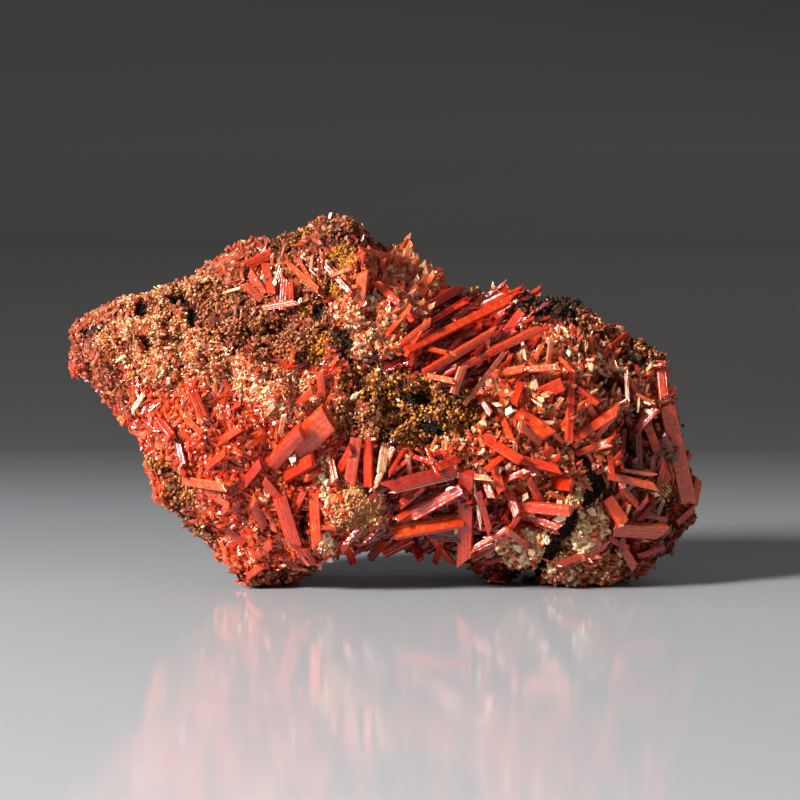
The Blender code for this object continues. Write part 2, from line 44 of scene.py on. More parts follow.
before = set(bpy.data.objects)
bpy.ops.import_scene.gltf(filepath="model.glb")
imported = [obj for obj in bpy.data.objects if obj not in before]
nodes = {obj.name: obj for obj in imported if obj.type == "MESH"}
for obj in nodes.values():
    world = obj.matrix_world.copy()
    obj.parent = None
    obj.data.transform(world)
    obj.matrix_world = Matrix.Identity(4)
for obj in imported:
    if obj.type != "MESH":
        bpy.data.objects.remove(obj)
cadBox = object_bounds()
mm = 0.001
rng = np.random.default_rng(5)
dice = random.Random(5)

# the picture that the crystal face is read in: 800 x 800, seen from a little above the horizontal
photoView = {
    "elevation": 5.0,
    "distance": 0.70,  # metres from the aim to the camera
    "aim": (0.0017, 0.0, 0.0286),
    "widthSeen": 0.125,  # metres across the picture at the aim
    "pixels": 800,
    "middle": (400, 415),  # the middle of the specimen, in pixels
    "inwards": (16, 0.02),  # tries to meet the rock, each this much nearer to that middle
    "sensor": 36.0,  # mm
}


def viewAxes():
    tilt = math.radians(photoView["elevation"])
    forward = np.array([0.0, math.cos(tilt), -math.sin(tilt)])
    right = np.array([1.0, 0.0, 0.0])
    return forward, right, np.cross(right, forward)


def eyePoint():
    return np.array(photoView["aim"]) - viewAxes()[0] * photoView["distance"]


def seenAt(points):
    # pixel columns and rows of points, as the camera has them
    forward, right, up = viewAxes()
    away = points - eyePoint()
    scale = photoView["distance"] / (away @ forward) * photoView["pixels"] / photoView["widthSeen"]
    half = photoView["pixels"] / 2
    return half + (away @ right) * scale, half - (away @ up) * scale


def sightLine(px, py):
    # the direction in which the camera sees a pixel
    forward, right, up = viewAxes()
    spread = photoView["widthSeen"] / photoView["distance"] / photoView["pixels"]
    half = photoView["pixels"] / 2
    return Vector(forward + right * (px - half) * spread + up * (half - py) * spread).normalized()


pixelSize = photoView["widthSeen"] / photoView["pixels"]

# what grows where on the crystal face: recipe, then centre and half sizes in pixels, and clockwise turn
faceZones = [
    ("rosy", (102, 372), (54, 16), 55), ("rosy", (98, 318), (28, 9), -25),
    ("sandy", (152, 345), (54, 42), 20), ("sandy", (215, 366), (32, 20), 10),
    ("blackGrit", (90, 330), (13, 6), -10), ("black", (141, 309), (7, 9), 30),
    ("black", (178, 301), (13, 5), 15), ("sandyRock", (188, 290), (34, 16), -25),
    ("black", (193, 316), (7, 10), 0), ("rust", (216, 305), (26, 26), 0),
    ("rust", (258, 326), (54, 30), 15), ("rosy", (232, 262), (27, 19), -20),
    ("redPrisms", (262, 276), (16, 22), 0), ("redPrisms", (285, 286), (18, 18), 0),
    ("ochre", (294, 240), (24, 11), -35), ("summitRed", (335, 232), (28, 18), 0),
    ("yellow", (346, 257), (12, 13), -20), ("yellow", (338, 291), (8, 6), 0),
    ("mixedBrown", (308, 268), (24, 22), 0), ("rosyFaces", (364, 276), (15, 20), 0),
    ("deepRed", (370, 243), (30, 14), 30), ("black", (318, 313), (6, 8), 0),
    ("blackGrit", (343, 342), (10, 14), 0), ("yellow", (321, 347), (8, 14), 30),
    ("yellow", (306, 311), (7, 5), 0), ("cream", (365, 303), (8, 7), 0),
    ("creamRed", (376, 326), (26, 30), 0), ("bigRed", (400, 285), (28, 34), 0),
    ("sprayHollow", (470, 342), (74, 38), -27), ("darkRock", (556, 311), (50, 16), 20),
    ("tanRock", (640, 352), (30, 22), 45), ("tanEdge", (600, 329), (34, 9), 30),
    ("creamOrange", (560, 342), (42, 15), 25), ("tangle", (548, 392), (64, 40), 0),
    ("hollow", (607, 383), (20, 13), 10), ("hollow", (630, 447), (13, 24), 0),
    ("tangle", (530, 450), (66, 44), 0), ("tangle", (650, 385), (18, 20), 0),
    ("black", (584, 464), (8, 18), -20), ("black", (592, 492), (9, 18), 20),
    ("black", (573, 520), (9, 24), 35), ("black", (551, 551), (9, 21), 42),
    ("black", (530, 571), (18, 9), -10), ("black", (604, 492), (6, 24), -8),
    ("creamBlack", (586, 520), (24, 26), 0), ("creamBlack", (530, 553), (32, 16), 20),
    ("rightBlades", (652, 450), (40, 50), 0), ("rightBlades", (640, 525), (42, 40), 0),
    ("creamBand", (668, 494), (34, 9), 20), ("brownEdge", (688, 532), (16, 32), 35),
    ("lowerRight", (592, 567), (46, 12), -3), ("fanHollow", (425, 507), (64, 50), 0),
    ("tangle", (460, 462), (44, 16), 0), ("sponge", (426, 408), (62, 32), 14),
    ("black", (416, 399), (14, 7), 10), ("black", (430, 428), (13, 8), 10),
    ("rustTan", (350, 420), (28, 24), 0), ("dome", (359, 509), (32, 26), 0),
    ("glassy", (215, 440), (100, 62), 25), ("glassy", (262, 510), (70, 66), 0),
    ("glassy", (305, 440), (36, 40), 0), ("creamNeedles", (262, 385), (56, 19), 12),
    ("creamNeedles", (286, 404), (42, 24), 35), ("hollow", (303, 520), (7, 22), 0),
    ("creamStreak", (325, 482), (5, 25), -8), ("creamStreak", (326, 545), (7, 12), 0),
    ("ochreStrip", (174, 478), (42, 12), 44), ("brownEdge", (194, 530), (46, 15), 50),
    ("foot", (270, 573), (26, 10), 0), ("black", (313, 567), (14, 7), 0),
    ("foot", (362, 555), (13, 16), -20),
]

# the back isn't in the picture: patches of crust between bare rock, read as if seen through the rock
backZones = [
    ("glassy", (280, 400), (90, 70), 20), ("tangle", (500, 400), (70, 60), 0),
    ("sandyRock", (160, 360), (70, 50), 20), ("sponge", (390, 310), (70, 60), 0),
    ("rust", (400, 500), (90, 50), 0), ("darkRock", (610, 470), (70, 70), 0),
    ("sandy", (330, 270), (60, 40), 0), ("tanRock", (600, 350), (60, 40), 20),
    ("redPrisms", (200, 440), (50, 40), 0), ("black", (450, 470), (30, 20), 30),
    ("darkRock", (250, 520), (60, 40), 0),
]

# each recipe. rock: tone, its spread, roughness, mm that it lies sunk, and how much painted red glow it
# takes, a deep red that stands in for light bounced among the crystals.
# dust: how much of the rock's brown dust lies on its crystals, usualDust where it isn't given.
# the rest is what stands on it, with how many to a square millimetre and ranges of size in mm.
# grains, ochre and sugar: number, smallest, largest, darkest, palest. plates: number, smallest, largest.
# prisms and needles: number, length, width, the heading of their tips as seen and its spread in degrees,
# lean out of the surface in degrees, tone
recipes = {
    "rosy": {
        "dust": 0.45, "rock": (0.36, 0.15, 0.5, 0.0, 0.4), "sugar": (1.1, 0.3, 0.7, 0.28, 0.58),
        "grains": (1.5, 0.3, 0.6, 0.2, 0.62),
        "prisms": (0.6, (1.0, 2.4), (0.4, 0.9), (200, 90), (0, 10), (0.3, 0.58)),
    },
    "blackGrit": {
        "rock": (0.08, 0.08, 1.6, 0.3, 0.0), "grains": (4.0, 0.2, 0.5, 0.0, 0.42),
    },
    "black": {
        "rock": (0.05, 0.06, 1.4, 0.9, 0.0), "grains": (3.6, 0.2, 0.5, 0.0, 0.22),
    },
    "sandy": {
        "dust": 0.45, "rock": (0.45, 0.24, 1.4, 0.0, 0.3), "grains": (4.6, 0.2, 0.5, 0.38, 0.92),
        "sugar": (1.7, 0.3, 0.7, 0.4, 0.74),
        "needles": (1.3, (0.6, 1.5), (0.14, 0.26), (235, 60), (5, 50), (0.1, 0.8)),
    },
    "sandyRock": {
        "dust": 0.7, "rock": (0.32, 0.22, 1.6, 0.0, 0.1), "grains": (4.6, 0.2, 0.56, 0.2, 0.8),
        "sugar": (0.5, 0.3, 0.7, 0.36, 0.66),
        "needles": (0.4, (0.6, 1.3), (0.14, 0.26), (235, 90), (5, 50), (0.0, 0.6)),
    },
    "rust": {
        "dust": 0.6, "rock": (0.22, 0.16, 1.9, 0.0, 0.2), "grains": (4.6, 0.2, 0.56, 0.2, 0.68),
        "sugar": (0.7, 0.3, 0.7, 0.3, 0.58),
        "needles": (0.2, (0.7, 1.6), (0.14, 0.26), (90, 180), (10, 60), (0.0, 0.6)),
    },
    "rustTan": {
        "dust": 0.6, "rock": (0.3, 0.16, 1.7, 0.0, 0.2), "grains": (4.6, 0.2, 0.56, 0.28, 0.8),
        "sugar": (0.8, 0.3, 0.8, 0.36, 0.66),
        "needles": (0.3, (0.7, 1.6), (0.14, 0.26), (90, 180), (10, 60), (0.1, 0.8)),
    },
    "ochre": {
        "dust": 0.6, "rock": (0.2, 0.14, 1.8, 0.0, 0.0), "grains": (3.0, 0.2, 0.6, 0.05, 0.46),
        "ochre": (1.6, 0.2, 0.56, 0.15, 0.75),
    },
    "yellow": {
        "dust": 0.6, "rock": (0.34, 0.12, 1.5, 0.0, 0.0), "grains": (1.6, 0.2, 0.5, 0.1, 0.5),
        "ochre": (9.0, 0.2, 0.46, 0.4, 0.95),
    },
    "mixedBrown": {
        "dust": 0.5, "rock": (0.2, 0.16, 1.9, 0.3, 0.2), "grains": (3.2, 0.2, 0.6, 0.1, 0.62),
        "ochre": (0.6, 0.2, 0.5, 0.3, 0.9),
        "prisms": (0.5, (1.4, 4.0), (0.4, 1.0), (120, 70), (5, 50), (0.3, 0.68)),
        "sugar": (0.5, 0.3, 0.7, 0.3, 0.6),
        "needles": (0.3, (1.0, 2.4), (0.14, 0.3), (120, 70), (5, 50), (0.1, 0.9)),
    },
    "summitRed": {
        "dust": 0.6, "rock": (0.2, 0.16, 1.9, 0.2, 0.2), "grains": (3.6, 0.2, 0.6, 0.06, 0.52),
        "sugar": (0.6, 0.3, 0.8, 0.3, 0.58),
        "prisms": (0.35, (1.2, 3.0), (0.4, 1.0), (100, 60), (5, 40), (0.3, 0.56)),
        "ochre": (0.4, 0.2, 0.5, 0.3, 0.8),
    },
    "redPrisms": {
        "dust": 0.45, "rock": (0.26, 0.14, 1.2, 0.4, 0.5), "grains": (1.2, 0.3, 0.8, 0.35, 0.85),
        "sugar": (0.8, 0.35, 0.9, 0.35, 0.75),
        "prisms": (0.7, (1.4, 4.0), (0.4, 1.2), (90, 50), (5, 50), (0.3, 0.64)),
    },
    "rosyFaces": {
        "dust": 0.2, "rock": (0.3, 0.14, 0.8, 0.0, 0.8), "sugar": (1.2, 0.4, 1.1, 0.5, 0.82),
        "prisms": (0.8, (1.2, 3.0), (0.6, 1.4), (70, 60), (0, 40), (0.5, 0.84)),
    },
    # painted shade: dark rock and dark red crystals on the summit's shaded right slope
    "deepRed": {
        "rock": (0.16, 0.1, 1.0, 0.8, 0.8),
        "prisms": (0.6, (1.4, 3.4), (0.6, 1.4), (20, 60), (0, 40), (0.12, 0.45)),
    },
    "cream": {
        "rock": (0.7, 0.2, 1.2, 0.0, 0.0), "grains": (2.8, 0.35, 0.8, 0.62, 1.0),
    },
    "creamRed": {
        "dust": 0.05, "rock": (0.66, 0.24, 1.1, 0.1, 0.3), "grains": (4.0, 0.22, 0.6, 0.7, 1.0),
        "sugar": (1.5, 0.35, 0.9, 0.64, 0.98),
        "prisms": (1.0, (1.0, 3.0), (0.4, 0.9), (50, 90), (5, 60), (0.6, 0.88)),
        "needles": (0.8, (0.8, 1.8), (0.15, 0.32), (90, 90), (5, 50), (0.4, 1.0)),
    },
    # painted light: its tones are raised so that this patch, which the summit shades, looks lit
    "bigRed": {
        "dust": 0.02, "rock": (0.46, 0.16, 1.0, 0.3, 0.9), "sugar": (1.2, 0.4, 1.0, 0.6, 0.9),
        "grains": (0.3, 0.3, 0.7, 0.6, 1.0),
        "prisms": (1.0, (1.6, 4.6), (0.6, 1.6), (60, 60), (5, 55), (0.6, 0.86)),
        "needles": (0.1, (0.8, 1.6), (0.2, 0.45), (90, 90), (5, 50), (0.3, 1.0)),
    },
    # painted shade: in both of these hollows the rock and the small crystals are dark, standing in for the
    # shade between the blades
    "sprayHollow": {
        "dust": 0.03, "rock": (0.1, 0.08, 1.0, 1.6, 0.9),
        "prisms": (0.55, (2.0, 5.4), (0.6, 1.3), (30, 22), (0, 25), (0.12, 0.46)),
        "sugar": (0.4, 0.4, 0.9, 0.2, 0.55),
    },
    "fanHollow": {
        "dust": 0.03, "rock": (0.08, 0.08, 1.0, 1.0, 0.9), "sugar": (0.5, 0.4, 1.0, 0.1, 0.45),
        "prisms": (0.65, (2.0, 5.2), (0.6, 1.5), (205, 40), (0, 35), (0.12, 0.44)),
    },
    # painted shade: near-black rock and crystals in the deep hollows
    "hollow": {
        "rock": (0.04, 0.04, 1.0, 2.6, 0.7),
        "prisms": (0.35, (1.4, 3.0), (0.5, 1.0), (0, 180), (0, 30), (0.0, 0.2)),
    },
    "darkRock": {
        "dust": 0.5, "rock": (0.06, 0.08, 2.0, 0.2, 0.0), "grains": (4.2, 0.2, 0.6, 0.0, 0.24),
        "ochre": (0.25, 0.2, 0.5, 0.0, 0.5),
        "needles": (0.08, (0.7, 1.4), (0.14, 0.26), (20, 60), (5, 40), (0.1, 0.7)),
    },
    "tanEdge": {
        "dust": 0.5, "rock": (0.3, 0.2, 1.6, 0.0, 0.2), "grains": (4.2, 0.2, 0.6, 0.14, 0.76),
        "sugar": (0.9, 0.3, 0.9, 0.3, 0.68),
    },
    "tanRock": {
        "dust": 0.6, "rock": (0.16, 0.2, 2.0, 0.2, 0.0), "grains": (4.6, 0.2, 0.56, 0.0, 0.66),
        "ochre": (0.4, 0.2, 0.5, 0.1, 0.7), "sugar": (0.25, 0.3, 0.7, 0.3, 0.6),
    },
    "creamOrange": {
        "dust": 0.2, "rock": (0.4, 0.2, 1.0, 0.2, 0.4), "grains": (1.6, 0.28, 0.7, 0.55, 0.95),
        "sugar": (1.0, 0.3, 0.8, 0.44, 0.84),
        "prisms": (1.1, (1.0, 3.0), (0.3, 0.7), (85, 35), (10, 60), (0.46, 0.8)),
        "needles": (0.3, (1.0, 2.2), (0.18, 0.36), (85, 30), (5, 50), (0.3, 1.0)),
    },
    "tangle": {
        "rock": (0.32, 0.16, 1.0, 0.6, 0.8), "sugar": (1.4, 0.35, 0.95, 0.5, 0.96),
        "grains": (0.8, 0.3, 0.8, 0.6, 1.0),
        "prisms": (1.3, (1.2, 4.6), (0.4, 1.2), (30, 120), (5, 55), (0.49, 0.88)),
        "plates": (0.16, 0.4, 1.2),
        "needles": (0.14, (0.8, 1.8), (0.2, 0.45), (90, 90), (5, 50), (0.3, 1.0)),
    },
    "sponge": {
        "dust": 0.6, "rock": (0.2, 0.18, 2.4, 0.3, 0.1), "grains": (3.4, 0.2, 0.56, 0.12, 0.72),
        "ochre": (2.8, 0.2, 0.58, 0.25, 1.0),
        "needles": (0.16, (0.8, 1.8), (0.16, 0.3), (90, 180), (5, 50), (0.2, 0.8)),
    },
    "rightBlades": {
        "dust": 0.15, "rock": (0.08, 0.08, 0.8, 0.9, 0.7),
        "prisms": (0.55, (2.4, 5.6), (0.8, 1.8), (100, 90), (0, 35), (0.1, 0.46)),
        "sugar": (0.5, 0.4, 0.9, 0.15, 0.5), "grains": (0.2, 0.3, 0.8, 0.5, 0.85),
    },
    "creamBand": {
        "dust": 0.5, "rock": (0.36, 0.3, 1.7, 0.0, 0.0), "grains": (4.0, 0.2, 0.6, 0.2, 0.86),
        "plates": (0.08, 0.5, 1.1),
    },
    "brownEdge": {
        "dust": 0.6, "rock": (0.27, 0.14, 1.1, 0.0, 0.2), "grains": (4.0, 0.2, 0.6, 0.12, 0.56),
        "sugar": (0.9, 0.35, 0.8, 0.24, 0.53),
    },
    "creamBlack": {
        "rock": (0.84, 0.2, 1.7, 0.0, 0.0), "grains": (3.4, 0.3, 0.9, 0.74, 1.0),
        "sugar": (0.45, 0.4, 0.9, 0.3, 0.7),
        "prisms": (0.3, (1.4, 3.2), (0.5, 1.0), (30, 120), (5, 60), (0.34, 0.66)),
        "plates": (0.4, 0.5, 1.4),
    },
    "lowerRight": {
        "dust": 0.3, "rock": (0.36, 0.4, 1.6, 0.0, 0.2), "grains": (2.4, 0.3, 0.8, 0.1, 1.0),
        "sugar": (0.8, 0.35, 0.9, 0.25, 0.62),
        "prisms": (0.6, (1.4, 3.6), (0.4, 1.0), (20, 60), (5, 50), (0.25, 0.66)),
        "plates": (0.25, 0.5, 1.2),
    },
    "dome": {
        "dust": 0.4, "rock": (0.58, 0.16, 1.0, -0.8, 0.3), "grains": (5.4, 0.2, 0.46, 0.48, 0.9),
        "sugar": (1.8, 0.28, 0.55, 0.54, 0.9),
        "needles": (1.1, (0.5, 1.2), (0.14, 0.24), (60, 180), (20, 70), (0.1, 0.7)),
    },
    "creamStreak": {
        "rock": (0.76, 0.12, 0.8, -0.3, 0.1), "grains": (1.4, 0.35, 0.9, 0.66, 0.95),
        "plates": (0.8, 0.7, 1.9), "sugar": (0.6, 0.3, 0.8, 0.7, 0.95),
    },
    "creamNeedles": {
        "dust": 0.3, "rock": (0.56, 0.24, 1.1, 0.0, 0.4), "grains": (3.4, 0.2, 0.5, 0.6, 1.0),
        "sugar": (1.4, 0.3, 0.85, 0.48, 0.86),
        "needles": (2.3, (0.8, 2.2), (0.14, 0.28), (240, 45), (5, 45), (0.1, 1.0)),
        "prisms": (0.45, (1.0, 2.4), (0.4, 0.8), (60, 180), (0, 35), (0.5, 0.8)),
    },
    "glassy": {
        "dust": 0.08, "rock": (0.32, 0.14, 0.9, 0.2, 0.95), "sugar": (1.3, 0.3, 0.9, 0.44, 0.8),
        "grains": (0.2, 0.3, 0.6, 0.5, 0.9),
        "prisms": (2.5, (1.0, 3.3), (0.4, 1.1), (60, 180), (0, 32), (0.44, 0.74)),
        "needles": (0.12, (0.8, 1.6), (0.18, 0.36), (60, 60), (5, 50), (0.2, 1.0)),
    },
    "ochreStrip": {
        "dust": 0.6, "rock": (0.3, 0.2, 1.9, 0.2, 0.2), "grains": (3.6, 0.2, 0.56, 0.18, 0.72),
        "ochre": (1.8, 0.2, 0.5, 0.3, 0.9), "sugar": (0.7, 0.3, 0.7, 0.36, 0.66),
    },
    "foot": {
        "dust": 0.4, "rock": (0.24, 0.14, 1.6, 0.0, 0.3), "grains": (3.4, 0.2, 0.6, 0.14, 0.66),
        "sugar": (1.0, 0.3, 0.8, 0.32, 0.64),
    },
}
recipeNames = sorted(recipes)

# the blades that can be told apart, each from its root to its tip: pixel columns and rows of the picture,
# the width in pixels, how far the tip stands proud of the rock in mm, and the tone
bladesSeen = {
    "blade_spray_upper": [
        (410, 349, 514, 298, 9, 4.2, 0.56), (428, 371, 492, 333, 9, 4.2, 0.6),
        (465, 365, 543, 327, 8, 3.8, 0.56), (412, 316, 461, 287, 9, 4.0, 0.5),
        (418, 308, 455, 290, 4, 4.4, 0.7), (432, 321, 468, 299, 6, 2.8, 0.42),
        (440, 316, 466, 302, 4, 3.2, 0.5), (456, 319, 489, 294, 5, 2.0, 0.34),
        (467, 401, 505, 352, 5, 1.6, 0.3), (429, 376, 454, 381, 6, 3.0, 0.66),
        (455, 389, 463, 366, 8, 3.4, 0.62), (406, 341, 430, 322, 7, 3.6, 0.64),
        (389, 332, 409, 309, 5, 3.0, 0.62), (502, 337, 522, 311, 9, 2.0, 0.5),
        (498, 339, 516, 330, 6, 1.6, 0.46), (522, 340, 525, 359, 3, 2.4, 0.92),
        (470, 345, 512, 330, 5, 1.2, 0.3), (450, 352, 470, 326, 6, 1.0, 0.26),
        # the blade from 424, 300 is paler as painted light, where the summit shades it
        (478, 352, 500, 318, 6, 1.0, 0.28), (424, 300, 436, 279, 9, 2.0, 0.8),
        (430, 296, 447, 282, 5, 1.4, 0.44), (488, 302, 505, 293, 6, 1.8, 0.62),
        (408, 352, 426, 322, 5, 2.2, 0.58), (433, 350, 456, 355, 5, 1.4, 0.66),
        (500, 296, 507, 288, 5, 1.2, 0.36),
    ],
    # painted light: several of these tones are raised where the summit shades them
    "crystal_cluster_summit": [
        (360, 251, 401, 260, 8, 2.0, 0.74), (418, 296, 431, 276, 12, 1.4, 0.72),
        (360, 300, 363, 272, 11, 1.4, 0.7), (385, 296, 400, 268, 9, 1.4, 0.68),
        (395, 300, 376, 282, 8, 1.6, 0.62), (372, 284, 396, 290, 6, 1.2, 0.74),
        (334, 270, 347, 279, 4, 1.4, 0.7), (322, 262, 350, 292, 5, 1.4, 0.58),
        (350, 269, 330, 276, 4, 1.6, 0.84), (382, 262, 410, 282, 8, 1.4, 0.62),
        (404, 305, 412, 288, 6, 1.6, 0.6), (370, 262, 366, 284, 6, 1.6, 0.42),
    ],
    "crystal_cluster_ridge": [
        (288, 264, 318, 290, 6, 1.6, 0.62), (246, 266, 270, 254, 10, 1.6, 0.55),
        (283, 305, 285, 278, 8, 1.8, 0.5), (222, 266, 240, 253, 10, 0.8, 0.66),
        (262, 290, 250, 272, 9, 1.4, 0.55), (291, 303, 290, 282, 6, 1.6, 0.58),
        (268, 307, 296, 302, 6, 1.6, 0.66), (266, 268, 272, 294, 8, 1.2, 0.5),
        (226, 292, 240, 288, 3, 1.4, 0.9), (300, 262, 320, 296, 4, 1.2, 0.5),
        (258, 296, 244, 284, 8, 1.2, 0.6), (274, 290, 281, 268, 6, 1.2, 0.46),
    ],
    # their tones are lowered as painted shade: darker where the bulge above shades them
    "blade_fan_lower": [
        (356, 443, 350, 483, 12, 2.0, 0.48), (368, 445, 369, 487, 9, 2.0, 0.52),
        (384, 449, 381, 472, 8, 2.4, 0.92), (391, 452, 373, 490, 6, 2.2, 0.8),
        (402, 453, 389, 474, 4, 2.0, 0.52), (453, 470, 388, 488, 14, 2.6, 0.38),
        (454, 461, 438, 467, 8, 2.6, 0.47), (449, 479, 392, 493, 2.5, 3.0, 0.97),
        (425, 486, 401, 503, 7, 1.4, 0.42), (458, 491, 409, 518, 11, 2.8, 0.5),
        (430, 499, 396, 520, 7, 1.6, 0.54), (458, 521, 392, 533, 15, 2.4, 0.62),
        (456, 536, 430, 533, 12, 1.2, 0.22), (409, 540, 383, 553, 11, 1.6, 0.52),
        (430, 535, 451, 562, 7, 2.0, 0.52), (414, 545, 421, 560, 8, 1.4, 0.42),
        (467, 476, 465, 562, 15, 3.6, 0.52), (474, 486, 481, 526, 3, 2.0, 0.92),
        (480, 496, 490, 532, 6, 1.6, 0.42), (504, 531, 473, 549, 6, 2.0, 0.58),
        (499, 541, 474, 556, 11, 1.8, 0.42), (460, 475, 490, 478, 6, 2.4, 0.78),
        (485, 480, 492, 498, 8, 2.0, 0.64), (510, 491, 517, 517, 5, 1.4, 0.52),
        (396, 470, 412, 456, 4, 1.8, 0.54), (410, 474, 408, 456, 5, 2.2, 0.84),
        (428, 452, 437, 474, 4, 2.6, 0.58), (418, 458, 434, 463, 5, 1.8, 0.48),
        (404, 505, 424, 488, 4, 2.2, 0.58), (400, 522, 418, 508, 6, 1.6, 0.66),
        (372, 556, 386, 540, 8, 1.2, 0.48), (436, 560, 442, 540, 6, 1.4, 0.54),
        (476, 524, 487, 500, 4, 1.2, 0.34), (396, 548, 404, 538, 5, 2.0, 0.6),
        (340, 470, 352, 448, 8, 1.6, 0.54), (361, 488, 352, 474, 5, 1.4, 0.66),
    ],
    "blade_group_right_end": [
        (668, 411, 688, 502, 17, 2.4, 0.62), (648, 426, 668, 482, 9, 2.2, 0.58),
        (658, 428, 674, 482, 5, 2.6, 0.5), (614, 477, 656, 487, 8, 2.0, 0.66),
        (622, 470, 654, 475, 4, 2.2, 0.76), (609, 445, 612, 477, 6, 1.6, 0.5),
        (624, 433, 621, 467, 5, 1.4, 0.34), (624, 490, 637, 505, 6, 1.6, 0.6),
        (610, 503, 624, 524, 12, 1.6, 0.62), (628, 509, 621, 527, 4, 2.2, 0.84),
        (618, 529, 662, 532, 15, 2.4, 0.66), (622, 547, 635, 568, 9, 1.2, 0.6),
        (649, 517, 665, 519, 4, 1.6, 0.74), (640, 427, 657, 408, 8, 1.8, 0.5),
        (694, 500, 698, 480, 9, 0.6, 0.7), (636, 512, 648, 498, 5, 1.4, 0.46),
        (612, 540, 628, 548, 6, 1.2, 0.55), (652, 505, 640, 520, 6, 1.2, 0.4),
        (640, 470, 638, 432, 6, 1.0, 0.22), (660, 548, 640, 556, 6, 0.8, 0.44),
        (680, 520, 694, 508, 7, 0.6, 0.48),
    ],
    "crystal_tangle_right": [
        (571, 369, 569, 441, 8, 3.2, 0.56), (578, 437, 618, 410, 10, 2.6, 0.58),
        (498, 374, 524, 368, 7, 2.6, 0.7), (522, 370, 559, 367, 7, 2.6, 0.66),
        (581, 452, 612, 440, 6, 2.2, 0.62), (522, 416, 550, 436, 14, 2.2, 0.6),
        (487, 440, 521, 461, 10, 2.4, 0.56), (481, 400, 491, 414, 6, 2.0, 0.56),
        (504, 422, 512, 441, 6, 2.2, 0.62), (556, 483, 572, 485, 13, 2.8, 0.5),
        (524, 506, 571, 511, 11, 2.4, 0.58), (510, 494, 517, 516, 8, 2.0, 0.6),
        (585, 451, 610, 444, 7, 2.2, 0.62), (606, 352, 628, 333, 6, 1.8, 0.46),
        (594, 362, 590, 336, 4, 2.0, 0.62), (558, 356, 572, 371, 4, 2.0, 0.62),
        (661, 366, 664, 398, 10, 1.0, 0.52), (520, 387, 514, 404, 8, 1.6, 0.46),
        (545, 392, 563, 384, 14, 1.6, 0.5), (520, 460, 560, 470, 9, 2.0, 0.5),
        (548, 452, 520, 478, 8, 2.0, 0.56), (494, 464, 502, 492, 9, 2.0, 0.55),
        (536, 440, 520, 424, 7, 1.8, 0.66), (560, 440, 545, 425, 5, 2.2, 0.68),
        (533, 366, 541, 344, 5, 1.6, 0.66), (548, 364, 551, 340, 5, 1.8, 0.76),
        (582, 392, 598, 404, 7, 2.0, 0.6), (527, 545, 507, 530, 7, 2.0, 0.6),
        (561, 563, 607, 545, 8, 2.0, 0.58), (575, 560, 600, 556, 5, 1.8, 0.66),
        (596, 560, 600, 540, 5, 1.6, 0.52), (540, 500, 528, 478, 7, 2.0, 0.6),
        (506, 480, 528, 470, 6, 2.0, 0.6), (640, 396, 656, 404, 4, 1.4, 0.66),
        (626, 372, 628, 408, 4, 1.8, 0.76), (600, 424, 588, 404, 6, 1.8, 0.5),
        (505, 455, 486, 470, 6, 1.8, 0.62), (566, 500, 548, 492, 5, 2.0, 0.72),
        (538, 520, 560, 528, 7, 1.8, 0.55), (516, 520, 500, 545, 6, 1.8, 0.6),
        (594, 440, 610, 420, 6, 2.2, 0.66), (552, 412, 562, 398, 5, 2.0, 0.78),
    ],
    "crystal_crust_left": [
        (274, 461, 302, 431, 15, 3.0, 0.56), (298, 446, 330, 416, 27, 2.2, 0.62),
        (289, 474, 313, 460, 13, 2.0, 0.46), (314, 498, 317, 545, 10, 2.2, 0.62),
        (281, 502, 294, 543, 14, 1.6, 0.58), (179, 448, 184, 466, 8, 0.6, 0.3),
        (195, 397, 203, 417, 9, 1.4, 0.62), (187, 481, 225, 487, 9, 1.6, 0.66),
        (204, 488, 230, 506, 8, 1.4, 0.62), (141, 398, 132, 412, 5, 1.4, 0.92),
        (268, 412, 275, 404, 5, 1.8, 0.96), (281, 431, 284, 415, 5, 1.8, 0.94),
        (246, 482, 262, 462, 9, 1.4, 0.44), (222, 440, 240, 428, 8, 1.4, 0.6),
        (262, 522, 252, 502, 9, 1.4, 0.6), (330, 458, 335, 482, 8, 1.6, 0.72),
        (296, 508, 304, 492, 6, 1.4, 0.58), (240, 540, 226, 528, 8, 1.2, 0.56),
        (160, 420, 172, 436, 8, 1.2, 0.5), (210, 465, 226, 452, 7, 1.4, 0.56),
        (256, 556, 272, 544, 8, 1.2, 0.58), (302, 552, 290, 540, 7, 1.4, 0.66),
        (238, 500, 222, 512, 7, 1.2, 0.5), (146, 432, 136, 420, 7, 0.8, 0.55),
        (320, 470, 306, 478, 7, 1.8, 0.54), (262, 436, 250, 446, 7, 1.4, 0.64),
        (300, 402, 313, 390, 7, 1.6, 0.6), (276, 494, 264, 480, 8, 1.2, 0.52),
        (322, 392, 320, 372, 8, 1.4, 0.6), (312, 560, 304, 548, 6, 1.0, 0.6),
        (352, 560, 347, 546, 8, 0.8, 0.5), (252, 574, 262, 566, 7, 0.6, 0.5),
        (198, 430, 186, 418, 6, 1.0, 0.66),
    ],
}

